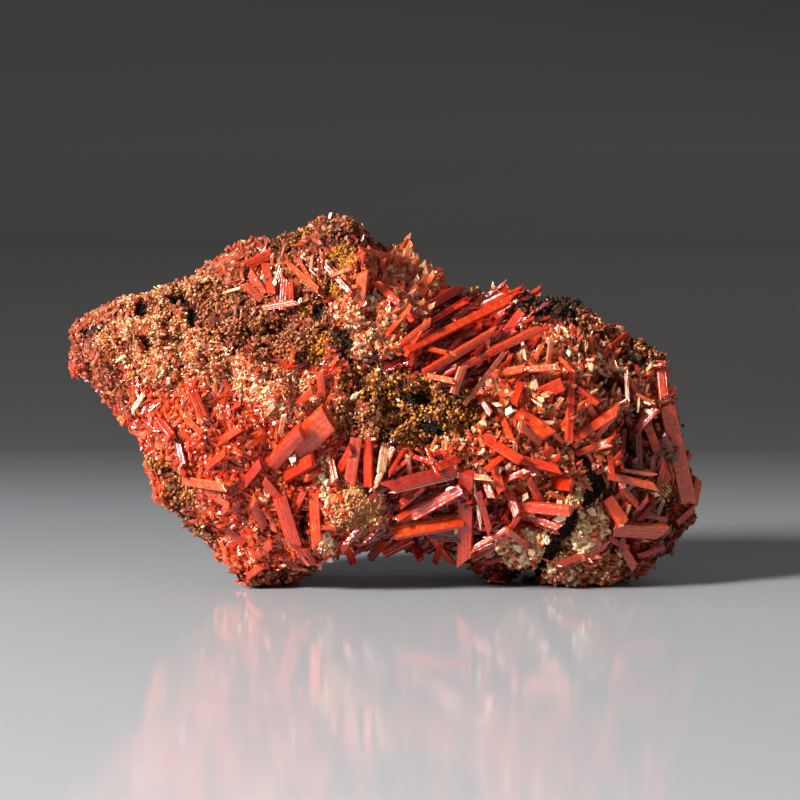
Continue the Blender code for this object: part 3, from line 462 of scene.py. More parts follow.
# the pale chips that can be told apart: column, row, width and height in pixels, and clockwise turn
chipsSeen = [
    (535, 386, 9, 12, 3), (509, 411, 12, 11, 20), (541, 400, 9, 6, 30), (591, 367, 6, 10, 10),
    (557, 407, 7, 6, 40), (521, 425, 5, 9, -20), (483, 423, 8, 7, 0), (525, 497, 9, 11, 30),
    (579, 489, 6, 5, 20), (559, 502, 5, 9, -25), (532, 515, 9, 6, 40), (553, 494, 10, 6, -30),
    (561, 518, 16, 8, -20), (592, 512, 9, 10, 0), (547, 541, 6, 11, 0), (517, 548, 11, 8, 20),
    (532, 552, 9, 9, 30), (592, 555, 5, 10, -15), (618, 552, 5, 14, -15), (364, 303, 9, 12, 15),
    (373, 299, 6, 8, 0), (293, 460, 9, 12, 20), (586, 547, 16, 4, -18), (643, 541, 22, 3, 0),
    (632, 566, 5, 7, -30), (497, 404, 10, 5, 15), (549, 407, 5, 5, 0), (604, 345, 4, 8, 20),
    (552, 343, 4, 12, 15), (569, 352, 4, 9, -10), (378, 370, 8, 4, -20), (354, 396, 10, 5, -40),
    (398, 400, 6, 4, 30), (646, 482, 8, 8, 0), (655, 494, 14, 5, 15), (638, 404, 4, 16, 10),
    (648, 412, 12, 4, 35), (328, 460, 6, 9, -10), (327, 536, 8, 16, 25), (322, 478, 5, 20, -20),
    (320, 432, 3, 7, 20), (272, 546, 9, 5, 10), (284, 565, 9, 4, 0), (240, 554, 7, 4, 30),
    (450, 488, 9, 3, -20), (482, 452, 4, 6, 20), (462, 440, 7, 4, 30), (447, 439, 8, 5, 40),
    (500, 470, 4, 7, 0), (566, 458, 8, 5, 20), (456, 531, 4, 8, 10), (374, 522, 6, 3, -35),
    (300, 301, 4, 8, 20), (275, 283, 7, 10, 10), (326, 263, 3, 8, 10), (113, 342, 2, 13, -10),
    (122, 358, 14, 3, -35), (566, 330, 10, 3, 40), (515, 302, 8, 4, -40), (389, 268, 12, 4, -20),
]

# blades on the back, which isn't in the picture, in mm as the model's source places them: X and height of the
# root and of the tip, width, and how far the tip stands proud of the rock
bladesBehind = {
    "placed": -0.305,  # mm along X from the source's place to this one
    "blade_spray_back": [
        (14.0, 27.0, 22.0, 37.0, 1.8, 4.0), (17.0, 26.0, 31.0, 31.0, 1.9, 3.6),
        (13.0, 28.0, 11.0, 38.0, 1.6, 3.0), (19.0, 25.0, 27.0, 19.0, 1.7, 3.0),
        (15.0, 24.0, 9.0, 20.0, 1.5, 2.6), (18.0, 30.0, 25.0, 34.0, 1.3, 3.0),
        (20.0, 27.0, 27.0, 26.0, 1.4, 2.4), (16.0, 29.0, 17.0, 36.0, 1.2, 2.6),
    ],
    "crystal_crust_back": [
        (-20.0, 30.0, -16.0, 34.0, 2.0, 2.0), (-14.0, 26.0, -9.0, 24.0, 1.8, 2.0),
        (-17.0, 20.0, -13.0, 17.0, 1.6, 1.8), (-27.0, 33.0, -31.0, 36.0, 1.6, 1.6),
        (-22.0, 26.0, -26.0, 24.0, 1.7, 1.6), (-12.0, 30.0, -8.0, 32.0, 1.5, 1.8),
    ],
}


# materials

def colourOf(hexCode):
    # an sRGB hex code as linear values
    parts = [int(hexCode[i:i + 2], 16) / 255 for i in (1, 3, 5)]
    return tuple(v / 12.92 if v <= 0.04045 else ((v + 0.055) / 1.055) ** 2.4 for v in parts) + (1.0,)


def addNode(tree, kind, settings=None, links=None, values=None):
    node = tree.nodes.new(kind)
    for name, value in (settings or {}).items():
        setattr(node, name, value)
    for name, value in (values or {}).items():
        node.inputs[name].default_value = value
    for name, source in (links or {}).items():
        tree.links.new(source, node.inputs[name])
    return node


def setStops(ramp, stops):
    elements = ramp.color_ramp.elements
    while len(elements) > 1:
        elements.remove(elements[-1])
    elements[0].position = stops[0][0]
    elements[0].color = colourOf(stops[0][1])
    for place, hexCode in stops[1:]:
        elements.new(place).color = colourOf(hexCode)


def newMaterial(name):
    made = bpy.data.materials.new(name)
    made.use_nodes = True
    tree = made.node_tree
    return made, tree, tree.nodes["Principled BSDF"]


def tonedRamp(tree, stops, grain, amount, streaks=None, streaked=0.0):
    # the colour of each point: its own tone, clouded by noise of the given grain in mm, and streaked
    tone = addNode(tree, "ShaderNodeAttribute", {"attribute_name": "tone"}).outputs["Fac"]
    place = addNode(tree, "ShaderNodeTexCoord")
    cloud = addNode(tree, "ShaderNodeTexNoise", None, {"Vector": place.outputs["Object"]}, {"Detail": 3.0})
    cloud.inputs["Scale"].default_value = 1 / (grain * mm)
    plus, minus = {"operation": "MULTIPLY_ADD"}, {"operation": "SUBTRACT"}
    for source, swing in ((cloud.outputs["Fac"], amount), (streaks, streaked)):
        if source:
            added = addNode(tree, "ShaderNodeMath", plus, {0: source, 2: tone}, {1: swing})
            lowered = addNode(tree, "ShaderNodeMath", minus, {0: added.outputs["Value"]}, {1: swing / 2})
            tone = lowered.outputs["Value"]
    ramp = addNode(tree, "ShaderNodeValToRGB", None, {"Fac": tone})
    setStops(ramp, stops)
    return ramp.outputs["Color"], cloud.outputs["Fac"]


def addBump(tree, shader, height, bump):
    strength, deep = bump
    raised = addNode(tree, "ShaderNodeBump", None, {"Height": height}, {"Strength": strength})
    raised.inputs["Distance"].default_value = deep * mm
    tree.links.new(raised.outputs["Normal"], shader.inputs["Normal"])


gossanFinish = {
    "stops": [
        (0.0, "#0b0908"), (0.12, "#25150e"), (0.26, "#572813"), (0.42, "#8c4825"),
        (0.58, "#b56d3d"), (0.72, "#cd9a66"), (0.86, "#ebca92"), (1.0, "#fbe9c8"),
    ],
    "ochreStops": [(0.0, "#3a1a08"), (0.4, "#904c12"), (0.7, "#bd7816"), (1.0, "#dba02c")],
    # painted red glow: deep red in the rock around the crystals, standing in for light bounced among them
    "paintedRedGlow": "#84190a",
    "grit": 0.5,  # mm
    "clouded": 0.24,  # how far its tone wanders from grain to grain
    "bump": (0.7, 0.2),  # strength, and depth in mm
    "roughness": 0.85,
    "specular": 0.3,
}


def gossanMaterial(name, stops, glowPainted=False):
    # gossan: weathered iron oxides, dull and crumbly, black with manganese and pale with clay in places
    made, tree, shader = newMaterial(name)
    colour, cloud = tonedRamp(tree, stops, gossanFinish["grit"], gossanFinish["clouded"])
    # mixes in the painted red glow, for light bounced among the crystals
    if glowPainted:
        painted_red_glow = addNode(tree, "ShaderNodeAttribute", {"attribute_name": "painted_red_glow"})
        mixed = addNode(tree, "ShaderNodeMix", {"data_type": "RGBA"}, {0: painted_red_glow.outputs["Fac"], 6: colour})
        mixed.inputs[7].default_value = colourOf(gossanFinish["paintedRedGlow"])
        colour = mixed.outputs[2]
    tree.links.new(colour, shader.inputs["Base Color"])
    addBump(tree, shader, cloud, gossanFinish["bump"])
    shader.inputs["Roughness"].default_value = gossanFinish["roughness"]
    shader.inputs["Specular IOR Level"].default_value = gossanFinish["specular"]
    return made


crocoiteFinish = {
    "stops": [
        (0.0, "#240302"), (0.18, "#560904"), (0.36, "#951606"), (0.52, "#c3270a"),
        (0.66, "#d84112"), (0.78, "#dc6633"), (0.90, "#e2966c"), (1.0, "#efcfae"),
    ],
    "clouded": (0.8, 0.46),  # size in mm of its clouds, and how far its tone wanders between them
    "streaked": 0.24,  # how far its tone wanders from groove to groove
    "roughness": 0.13,
    "ior": 2.3,
    "specular": 0.24,
    "clear": 0.1,  # the share of light that passes straight through
    "milky": 0.4,  # the share that is scattered inside
    "through": 1.2,  # mm that red light travels inside
    "reach": (1.0, 0.12, 0.04),  # how far red, green and blue get of that
    "groove": 0.22,  # mm between the grooves along a crystal
    "uneven": 0.5,  # mm
    "bump": (0.8, 0.16),  # strength, and depth in mm
    "dust": "#a06a41",
    "dustRoughness": 0.7,
}


def crocoiteMaterial():
    # crocoite: lead chromate, translucent and bright red-orange, with an almost diamond-like lustre
    made, tree, shader = newMaterial("crocoite_prism_faces")
    across = addNode(tree, "ShaderNodeAttribute", {"attribute_name": "streak"})
    grooves = addNode(tree, "ShaderNodeTexNoise", {"noise_dimensions": "1D"}, {"W": across.outputs["Fac"]})
    grooves.inputs["Detail"].default_value = 1.0
    grooves.inputs["Scale"].default_value = 1 / crocoiteFinish["groove"]
    place = addNode(tree, "ShaderNodeTexCoord")
    uneven = addNode(tree, "ShaderNodeTexNoise", None, {"Vector": place.outputs["Object"]}, {"Detail": 2.0})
    uneven.inputs["Scale"].default_value = 1 / (crocoiteFinish["uneven"] * mm)
    heights = {0: grooves.outputs["Fac"], 1: uneven.outputs["Fac"]}
    relief = addNode(tree, "ShaderNodeMath", {"operation": "ADD"}, heights)
    grain, swing = crocoiteFinish["clouded"]
    streaked = crocoiteFinish["streaked"]
    colour, cloud = tonedRamp(tree, crocoiteFinish["stops"], grain, swing, grooves.outputs["Fac"], streaked)
    settled = addNode(tree, "ShaderNodeAttribute", {"attribute_name": "dust"})
    times = {"operation": "MULTIPLY", "use_clamp": True}
    patchy = addNode(tree, "ShaderNodeMath", times, {0: settled.outputs["Fac"], 1: cloud})
    dusty = addNode(tree, "ShaderNodeMath", times, {0: patchy.outputs["Value"]}, {1: 2.0})
    mixed = addNode(tree, "ShaderNodeMix", {"data_type": "RGBA"}, {0: dusty.outputs["Value"], 6: colour})
    mixed.inputs[7].default_value = colourOf(crocoiteFinish["dust"])
    tree.links.new(mixed.outputs[2], shader.inputs["Base Color"])
    shine = addNode(tree, "ShaderNodeMapRange", None, {"Value": dusty.outputs["Value"]})
    shine.inputs["To Min"].default_value = crocoiteFinish["roughness"]
    shine.inputs["To Max"].default_value = crocoiteFinish["dustRoughness"]
    tree.links.new(shine.outputs["Result"], shader.inputs["Roughness"])
    addBump(tree, shader, relief.outputs["Value"], crocoiteFinish["bump"])
    shader.inputs["IOR"].default_value = crocoiteFinish["ior"]
    shader.inputs["Specular IOR Level"].default_value = crocoiteFinish["specular"]
    shader.inputs["Transmission Weight"].default_value = crocoiteFinish["clear"]
    shader.inputs["Subsurface Weight"].default_value = crocoiteFinish["milky"]
    shader.inputs["Subsurface Radius"].default_value = crocoiteFinish["reach"]
    shader.inputs["Subsurface Scale"].default_value = crocoiteFinish["through"] * mm
    return made


buffFinish = {
    "stops": [(0.0, "#b8683a"), (0.35, "#d09a64"), (0.65, "#e6c594"), (1.0, "#f6ead0")],
    "clouded": (0.9, 0.4),  # size in mm of its clouds, and how far its tone wanders between them
    "roughness": 0.45,
}


def buffMaterial():
    # pale secondary crust: chalky white to buff chips and needles, a little glossy on their faces
    made, tree, shader = newMaterial("buff_secondary_crust")
    colour, _ = tonedRamp(tree, buffFinish["stops"], *buffFinish["clouded"])
    tree.links.new(colour, shader.inputs["Base Color"])
    shader.inputs["Roughness"].default_value = buffFinish["roughness"]
    return made


# small shapes, and meshes joined from many copies of them

def templateOf(bm):
    # vertices and triangles of a small shape
    bmesh.ops.triangulate(bm, faces=bm.faces)
    bmesh.ops.recalc_face_normals(bm, faces=bm.faces)
    bm.verts.index_update()
    points = np.array([v.co[:] for v in bm.verts])
    faces = np.array([[v.index for v in f.verts] for f in bm.faces])
    bm.free()
    return points, faces


def roundBar(sides, tipRadius):
    # a bar 1 wide and 1 long, standing on its root
    bm = bmesh.new()
    bmesh.ops.create_cone(bm, cap_ends=True, segments=sides, radius1=0.5, radius2=tipRadius, depth=1.0)
    bmesh.ops.translate(bm, vec=(0, 0, 0.5), verts=bm.verts)
    return bm


prismForms = {
    "tipRadius": 0.46,
    "slanted": 0.3,  # how deep a full slant cuts, and a full chisel
    "chiselled": 0.35,
    # of each shape: its sides, and the slant and the chisel of its end
    "crystals": [(4, 0.6, 0.0), (4, 0.0, 1.0), (6, 0.8, 0.0), (4, 1.0, 0.4)],
    "needles": [(4, 0.5, 0.0)],
}


def prismShape(sides, slant, chisel):
    # a short prism with a slanting or chisel end
    bm = roundBar(sides, prismForms["tipRadius"])
    for v in bm.verts:
        if v.co.z > 0.5:
            cut = slant * (v.co.x + 0.5) * prismForms["slanted"]
            v.co.z -= cut + chisel * abs(v.co.y) * prismForms["chiselled"]
    return templateOf(bm)


bladeForm = {
    "shapes": 6,
    "sides": 14,
    "tipRadius": 0.49,
    "square": 0.30,  # 1 is a round section, 0 a rectangular one
    "ridges": (0.78, 1.1),  # how far out they stand
    "slants": (0.02, 0.08, 0.16),  # of the end
    "broken": 0.03,  # how uneven the end is
    "facet": (0.12, (-0.03, 0.02)),  # the end's inset, and its depth or height
}


def bladeShape(seed):
    # a long blade: nearly rectangular across, ridged along its length, with an oblique end
    own = random.Random(seed)
    sides, square = bladeForm["sides"], bladeForm["square"]
    inset, depths = bladeForm["facet"]
    bm = roundBar(sides, bladeForm["tipRadius"])
    ridges = [own.uniform(*bladeForm["ridges"]) for _ in range(sides)]
    slant = own.choice(bladeForm["slants"]) * own.choice((-1, 1))
    for v in bm.verts:
        angle = math.atan2(v.co.y, v.co.x)
        ridge = ridges[round(angle / (2 * math.pi) * sides) % sides]
        c, s = math.cos(angle), math.sin(angle)
        v.co.x = math.copysign(abs(c) ** square, c) * 0.5
        v.co.y = math.copysign(abs(s) ** square, s) * 0.5 * ridge
        if v.co.z > 0.5:
            v.co.z -= slant * v.co.x + bladeForm["broken"] * own.random()
    end = [f for f in bm.faces if f.calc_center_median().z > 0.85 and len(f.verts) == sides]
    bmesh.ops.inset_region(bm, faces=end, thickness=inset, depth=own.choice(depths))
    return templateOf(bm)


crumbForm = {
    "shapes": 8,
    "size": 0.8,
    "uneven": (0.5, 1.25),  # how far its corners are pulled in or out
    "upright": 0.7,  # how much its long way follows the rock's normal
    "stretch": (0.7, 2.4),
    "ochreStretch": (0.7, 2.0),
}


def crumbShape(seed):
    # an angular crumb of about unit size
    own = random.Random(seed)
    bm = bmesh.new()
    bmesh.ops.create_cube(bm, size=crumbForm["size"])
    for v in bm.verts:
        v.co = [c * own.uniform(*crumbForm["uneven"]) for c in v.co]
    return templateOf(bm)


chipForm = {
    "shapes": 9,
    "corners": (4, 5, 7),
    "radii": (0.56, 0.50),  # of its two faces
    "reach": (0.55, 1.15),  # how far out each corner stands
    "wedged": (0.4, 1.0),  # its thickness at each corner
    "forward": 0.9,  # mm that the chips read from the picture stand before the rock
    "tilted": 0.6,  # how far they may face away from the camera
    "thickness": (0.5, 0.9),  # mm
    "tones": (0.5, 1.0),
    "scatteredTones": (0.4, 1.0),
    "scatteredSizes": (0.6, 1.1),  # of the size that their recipe gives
    "flat": 0.5,
    "upright": 0.3,
}


def chipShape(seed):
    # a thin broken plate, 1 wide and 1 high, facing along Y
    own = random.Random(seed)
    corners = own.choice(chipForm["corners"])
    wide, narrow = chipForm["radii"]
    bm = bmesh.new()
    bmesh.ops.create_cone(bm, cap_ends=True, segments=corners, radius1=wide, radius2=narrow, depth=1.0)
    reach = [own.uniform(*chipForm["reach"]) for _ in range(corners)]
    for v in bm.verts:
        corner = round(math.atan2(v.co.y, v.co.x) / (2 * math.pi) * corners) % corners
        v.co.x *= reach[corner]
        v.co.y *= reach[corner]
        v.co.z *= own.uniform(*chipForm["wedged"])
    quarter = Matrix.Rotation(math.pi / 2, 3, "X")
    bmesh.ops.rotate(bm, cent=(0, 0, 0), matrix=quarter, verts=bm.verts)
    return templateOf(bm)


def axesAlong(along, roll, towards=None):
    # the three axes of a shape whose length runs along the given directions and whose breadth faces towards
    if towards is None:
        flat = np.abs(along[:, 2:3]) < 0.9  # not nearly upright
        towards = np.where(flat, [[0.0, 0.0, 1.0]], [[1.0, 0.0, 0.0]])
    side = np.cross(along, towards)
    side /= np.linalg.norm(side, axis=1, keepdims=True)
    front = np.cross(along, side)
    c, s = np.cos(roll)[:, None], np.sin(roll)[:, None]
    return np.stack([side * c + front * s, front * c - side * s, along], axis=2)


def setValues(mesh, name, values):
    attribute = mesh.attributes.new(name, "FLOAT", "POINT")
    attribute.data.foreach_set("value", values.astype(np.float32))


class Growth:
    # copies of small shapes, gathered until they become one mesh

    def __init__(self):
        self.points, self.faces = [], []
        self.tones, self.dusts, self.streaks = [], [], []
        self.count = 0

    def add(self, template, roots, axes, sizes, tones, dusts, tipLift=0.0):
        local, faces = template
        placed = roots[:, None, :] + np.einsum("nij,nvj->nvi", axes, local[None] * sizes[:, None, :])
        number, each = placed.shape[:2]
        steps = self.count + np.arange(number) * each
        self.points.append(placed.reshape(-1, 3))
        self.faces.append((faces[None] + steps[:, None, None]).reshape(-1, 3))
        self.tones.append((tones[:, None] + tipLift * local[None, :, 2]).reshape(-1))
        self.dusts.append(np.repeat(dusts, each))
        across = (local[None, :, :2] * sizes[:, None, :2]).sum(axis=2) / mm
        across = across + 50 * rng.random((number, 1))  # mm, far enough that no two have the same grooves
        self.streaks.append(across.reshape(-1))
        self.count += number * each

    def mesh(self, name, faceted):
        made = bpy.data.meshes.new(name)
        points, faces = np.concatenate(self.points), np.concatenate(self.faces)
        points[:, 2] = np.maximum(points[:, 2], 0.0)
        made.vertices.add(len(points))
        made.vertices.foreach_set("co", points.astype(np.float32).ravel())
        made.loops.add(faces.size)
        made.loops.foreach_set("vertex_index", faces.astype(np.int32).ravel())
        made.polygons.add(len(faces))
        made.polygons.foreach_set("loop_start", np.arange(0, faces.size, 3, dtype=np.int32))
        made.update(calc_edges=True)
        made.validate()
        if faceted:
            made.shade_flat()
        setValues(made, "tone", np.clip(np.concatenate(self.tones), 0, 1))
        setValues(made, "dust", np.concatenate(self.dusts))
        setValues(made, "streak", np.concatenate(self.streaks))
        return made


def showPiece(name, growth, material, replaced=(), faceted=True):
    piece = bpy.data.objects.new(name, growth.mesh(name, faceted))
    bpy.context.scene.collection.objects.link(piece)
    piece.data.materials.append(material)
    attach(piece, "root")
    if replaced:
        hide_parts(*replaced)
    print(f"{name}: {len(piece.data.polygons)} faces")
    return piece


# the rock

def rockCopy():
    # the model's rock with its doubled corners merged
    bm = bmesh.new()
    bm.from_mesh(nodes["gossan_matrix"].data)
    bmesh.ops.remove_doubles(bm, verts=bm.verts, dist=1e-6)
    return bm


rockForm = {
    "grid": 0.46,  # mm between the points of the fine surface
    "lump": (3.2, 0.55),  # size and height in mm
    "nodule": (1.5, 0.42),
    "grit": (0.9, 0.22),
    "pit": (2.2, 2.2),
    "pitShift": (7, 3, 5),  # moves the pits' pattern off the lumps'
    "pitsFrom": 0.12,  # the higher, the fewer pits
    "nodulesFrom": 0.3,  # the higher, the more lies between nodules
    "shades": (1.2, 1.4, 2.4, 0.15),  # how far nodules and grit pale it, pits darken it, and its middle
    "glowPainted": (0.75, 0.5),  # the share of the painted red glow (light bounced among the crystals) that is everywhere, and the share that follows the rock's tone
}


def evenSkin():
    # the rock's surface as a fine even net of faces
    mesh = bpy.data.meshes.new("gossan_skin")
    bm = rockCopy()
    bm.to_mesh(mesh)
    bm.free()
    skin = bpy.data.objects.new("gossan_skin", mesh)
    bpy.context.scene.collection.objects.link(skin)
    net = skin.modifiers.new("even net", "REMESH")
    net.mode = "VOXEL"
    net.voxel_size = rockForm["grid"] * mm
    graph = bpy.context.evaluated_depsgraph_get()
    skin.data = bpy.data.meshes.new_from_object(skin.evaluated_get(graph))
    skin.modifiers.clear()
    return skin


zoneEdges = {
    "wander": (2.4, 0.9),  # mm: size of the borders' coarse and fine wander
    "ragged": 0.3,  # how far they wander
    "mixed": 0.25,  # how far scattered things stray over them
    "behind": -0.15,  # the back's zones hold where the surface faces the camera less than this
    "usual": 40,  # pixels: both half sizes of a usual zone together
    "smallWins": (0.9, 1.5),  # how strongly a small zone wins over the wide one round it, and at most
}


def zoneNumbers(points, normals, scattered=0.0):
    # the recipe of each point: the zone it lies deepest in, with ragged borders, mixed for scattered things
    px, py = seenAt(points)
    facing = -(normals @ viewAxes()[0])
    coarse, fine = (size * mm for size in zoneEdges["wander"])
    spots = [Vector(p) for p in points]
    ragged = np.array([noise.noise(p / coarse) + 0.5 * noise.noise(p / fine) for p in spots])
    behind, usual = zoneEdges["behind"], zoneEdges["usual"]
    wins, atMost = zoneEdges["smallWins"]
    best = np.full(len(points), -9.0)
    found = np.zeros(len(points), dtype=int)
    for zones, here in ((faceZones, facing > behind), (backZones, facing <= behind)):
        for recipe, (cx, cy), (rx, ry), turn in zones:
            a = math.radians(turn)
            dx, dy = px - cx, py - cy
            u = (dx * math.cos(a) + dy * math.sin(a)) / rx
            v = (dy * math.cos(a) - dx * math.sin(a)) / ry
            depth = 1 - np.sqrt(u * u + v * v) + zoneEdges["ragged"] * ragged
            depth = depth + scattered * rng.uniform(-1, 1, len(points))
            small = wins * min(atMost, usual / (rx + ry))
            depth = np.where(depth > 0, depth + small, depth * usual / (rx + ry))
            better = here & (depth > best)
            best[better] = depth[better]
            found[better] = recipeNames.index(recipe)
    return found


def recipeColumn(numbers, pick):
    table = np.array([pick(recipes[name]) for name in recipeNames], dtype=float)
    return table[numbers]


def carveSkin(skin):
    # lumps, nodules and pits, each deeper where its recipe is rougher, and the tone of every point
    mesh = skin.data
    count = len(mesh.vertices)
    points = np.empty(count * 3)
    mesh.vertices.foreach_get("co", points)
    points = points.reshape(-1, 3)
    normals = np.empty(count * 3, dtype=np.float32)
    mesh.vertex_normals.foreach_get("vector", normals)
    normals = normals.reshape(-1, 3).astype(float)
    numbers = zoneNumbers(points, normals)
    centre, spread, rough, sunk, painted_red_glow = (recipeColumn(numbers, lambda r: r["rock"][i]) for i in range(5))
    push = np.empty(count)
    tone = np.empty(count)
    lumpSize, lumpHeight = rockForm["lump"]
    noduleSize, noduleHeight = rockForm["nodule"]
    gritSize, gritHeight = rockForm["grit"]
    pitSize, pitDepth = rockForm["pit"]
    pitShift = Vector(rockForm["pitShift"])
    byNodule, byGrit, byPit, middle = rockForm["shades"]
    everywhere, byShade = rockForm["glowPainted"]
    for i, point in enumerate(points):
        p = Vector(point)
        lump = noise.noise(p / (lumpSize * mm))
        cells = noise.voronoi(p / (noduleSize * mm))[0]
        nodule = cells[1] - cells[0] - rockForm["nodulesFrom"]
        grit = noise.noise(p / (gritSize * mm))
        pit = max(0.0, noise.noise(p / (pitSize * mm) + pitShift) - rockForm["pitsFrom"])
        push[i] = lumpHeight * lump + noduleHeight * nodule + gritHeight * grit
        push[i] -= pitDepth * pit
        tone[i] = byNodule * nodule + byGrit * grit - byPit * pit + middle
    points = points + normals * ((push * rough - sunk) * mm)[:, None]
    points[:, 2] = np.maximum(points[:, 2], 0.0)
    mesh.vertices.foreach_set("co", points.astype(np.float32).ravel())
    mesh.update()
    setValues(mesh, "tone", np.clip(centre + spread * tone, 0, 1))
    # the painted red glow, for light bounced among the crystals
    setValues(mesh, "painted_red_glow", np.clip(painted_red_glow * (everywhere + byShade * tone), 0, 1))
    mesh.shade_smooth()
    return points, normals


def skinSamples(skin, points, normals):
    # a function that scatters seeds over the skin: places, normals and recipes
    mesh = skin.data
    mesh.calc_loop_triangles()
    corners = np.empty(len(mesh.loop_triangles) * 3, dtype=np.int32)
    mesh.loop_triangles.foreach_get("vertices", corners)
    corners = corners.reshape(-1, 3)
    a, b, c = (points[corners[:, i]] for i in range(3))
    area = np.linalg.norm(np.cross(b - a, c - a), axis=1) / 2
    total = area.sum() / (mm * mm)
    share = area / area.sum()

    def scatter(perSquareMm):
        chosen = rng.choice(len(area), size=int(total * perSquareMm), p=share)
        u, v = rng.random((2, len(chosen)))
        flip = u + v > 1
        u[flip], v[flip] = 1 - u[flip], 1 - v[flip]
        place = a[chosen] + (b - a)[chosen] * u[:, None] + (c - a)[chosen] * v[:, None]
        normal = normals[corners[chosen]].mean(axis=1)
        normal /= np.linalg.norm(normal, axis=1, keepdims=True)
        return place, normal, zoneNumbers(place, normal, zoneEdges["mixed"])

    print(f"skin area {total:.0f} square mm")
    return scatter


# what grows on the rock

growthHabit = {
    "usualDust": 0.05,
    "dustSpread": (0.3, 1.5),  # the cleanest and the dustiest crystal, of what its recipe gives
    "seenDust": 0.4,  # the share of the dust that lies on the blades read from the picture
    "fewLong": 1.6,  # the higher, the more crystals stay short
    "slim": (0.7, 0.3),  # how far width follows length, and chance
    "rooted": 0.3,  # the share of its length that a crystal is buried
    "inside": 0.2,  # mm that all stays inside the model's box
    "breadths": (0.5, 0.95),  # of the width
    "steep": 0.3,  # a heading that lies along the surface by less than this is turned sideways
    "tipLift": 0.08,  # how much paler tips are than roots
    "fewLarge": 1.5,  # the higher, the more crumbs stay small
    "uneven": (0.75, 1.15),  # how far a crumb's three sizes differ
    "behind": (0.3, 0.42),  # where the back begins, by its facing, and the share of crumbs kept there
    "crookedness": 0.6,  # how far crumbs lean every way
    "bitsInside": 0.7,  # of its size that a crumb stays inside the model's box
    "bitsRaised": 0.2,  # of its size that its middle stands out of the rock
    "bitsUpright": 0.3,
    "bitsStretch": (0.9, 1.8),
    "clusterReach": 1.6,  # mm from a cluster within which a crystal belongs to it
}


def between(low, high, count):
    return low + (high - low) * rng.random(count)


def headings(normal, angle, spread, lean):
    # directions that head the given way as seen, laid over the surface and lifted out of it by the lean
    turn = np.radians(angle + spread * rng.uniform(-1, 1, len(normal)))
    across = np.column_stack([np.cos(turn), np.zeros(len(turn)), np.sin(turn)])
    across -= normal * np.sum(across * normal, axis=1, keepdims=True)
    size = np.linalg.norm(across, axis=1, keepdims=True)
    steep = size[:, 0] < growthHabit["steep"]
    across[steep] = np.cross(normal[steep], [0.0, 1.0, 0.0]) + 1e-6
    across /= np.linalg.norm(across, axis=1, keepdims=True)
    rise = np.radians(lean)[:, None]
    return across * np.cos(rise) + normal * np.sin(rise)


def inBox(places, reach=0.0):
    low, high = np.array(cadBox[0]), np.array(cadBox[1])
    spare = np.broadcast_to(reach, len(places))[:, None]
    inside = np.all((places - spare > low) & (places + spare < high), axis=1)
    return inside & (places[:, 2] - spare[:, 0] > growthHabit["inside"] * mm)


def dustOn(numbers):
    # the dust on crystals that grow by the given recipes, from clean ones to the dustiest
    dust = recipeColumn(numbers, lambda r: r.get("dust", growthHabit["usualDust"]))
    return dust * between(*growthHabit["dustSpread"], len(numbers))


def growKind(scatter, kind):
    # the seeds of a kind of crystal that take: roots, directions, lengths, widths, tones, dust
    most = max(recipe[kind][0] for recipe in recipes.values() if kind in recipe)
    place, normal, numbers = scatter(most)
    blank = (0.0, (1.0, 1.0), (1.0, 1.0), (0, 0), (0, 0), (0.5, 0.5))

    def column(i, j):
        return recipeColumn(numbers, lambda r: r.get(kind, blank)[i][j])

    keep = rng.random(len(place)) < recipeColumn(numbers, lambda r: r.get(kind, blank)[0]) / most
    number = len(place)
    byLength, byChance = growthHabit["slim"]
    size = rng.random(number) ** growthHabit["fewLong"]
    length = (column(1, 0) + (column(1, 1) - column(1, 0)) * size) * mm
    stoutness = byLength * size + byChance * rng.random(number)
    width = (column(2, 0) + (column(2, 1) - column(2, 0)) * stoutness) * mm
    tone = between(column(5, 0), column(5, 1), number)
    along = headings(normal, column(3, 0), column(3, 1), between(column(4, 0), column(4, 1), number))
    root = place - along * (growthHabit["rooted"] * length)[:, None]
    keep &= inBox(root) & inBox(root + along * length[:, None], growthHabit["inside"] * mm)
    print(f"{kind}: {keep.sum()} grown")
    return root[keep], along[keep], length[keep], width[keep], tone[keep], dustOn(numbers[keep])


def seedBits(scatter, kind):
    # the crumbs or crystal bits that take: places, normals, sizes, tones, dust
    most = max(recipe[kind][0] for recipe in recipes.values() if kind in recipe)
    place, normal, numbers = scatter(most)
    blank = (0, 1, 1, 0, 0)
    columns = [recipeColumn(numbers, lambda r: r.get(kind, blank)[i]) for i in range(5)]
    share, small, large, dark, pale = columns
    number = len(place)
    keep = rng.random(number) < share / most
    size = small + (large - small) * rng.random(number) ** growthHabit["fewLarge"]
    size = size[:, None] * between(*growthHabit["uneven"], (number, 3)) * mm
    tone = between(dark, pale, number)
    backFrom, keptBehind = growthHabit["behind"]
    keep &= inBox(place, growthHabit["bitsInside"] * size.max(axis=1))
    keep &= (normal[:, 1] < backFrom) | (rng.random(number) < keptBehind)
    print(f"{kind}: {keep.sum()}")
    return place[keep], normal[keep], size[keep], tone[keep], dustOn(numbers[keep])


def addBits(growth, shapes, place, normal, size, tone, dust, upright, stretch=(1.0, 1.0)):
    number = len(place)
    size = size * np.column_stack([np.ones((number, 2)), between(*stretch, number)])
    along = normal * upright + rng.normal(0, growthHabit["crookedness"], (number, 3))
    along /= np.linalg.norm(along, axis=1, keepdims=True)
    axes = axesAlong(along, rng.uniform(0, math.pi, number))
    which = rng.integers(0, len(shapes), number)
    centre = place + normal * (size[:, 2] * growthHabit["bitsRaised"])[:, None]
    for i, shape in enumerate(shapes):
        here = which == i
        growth.add(shape, centre[here], axes[here], size[here], tone[here], dust[here])


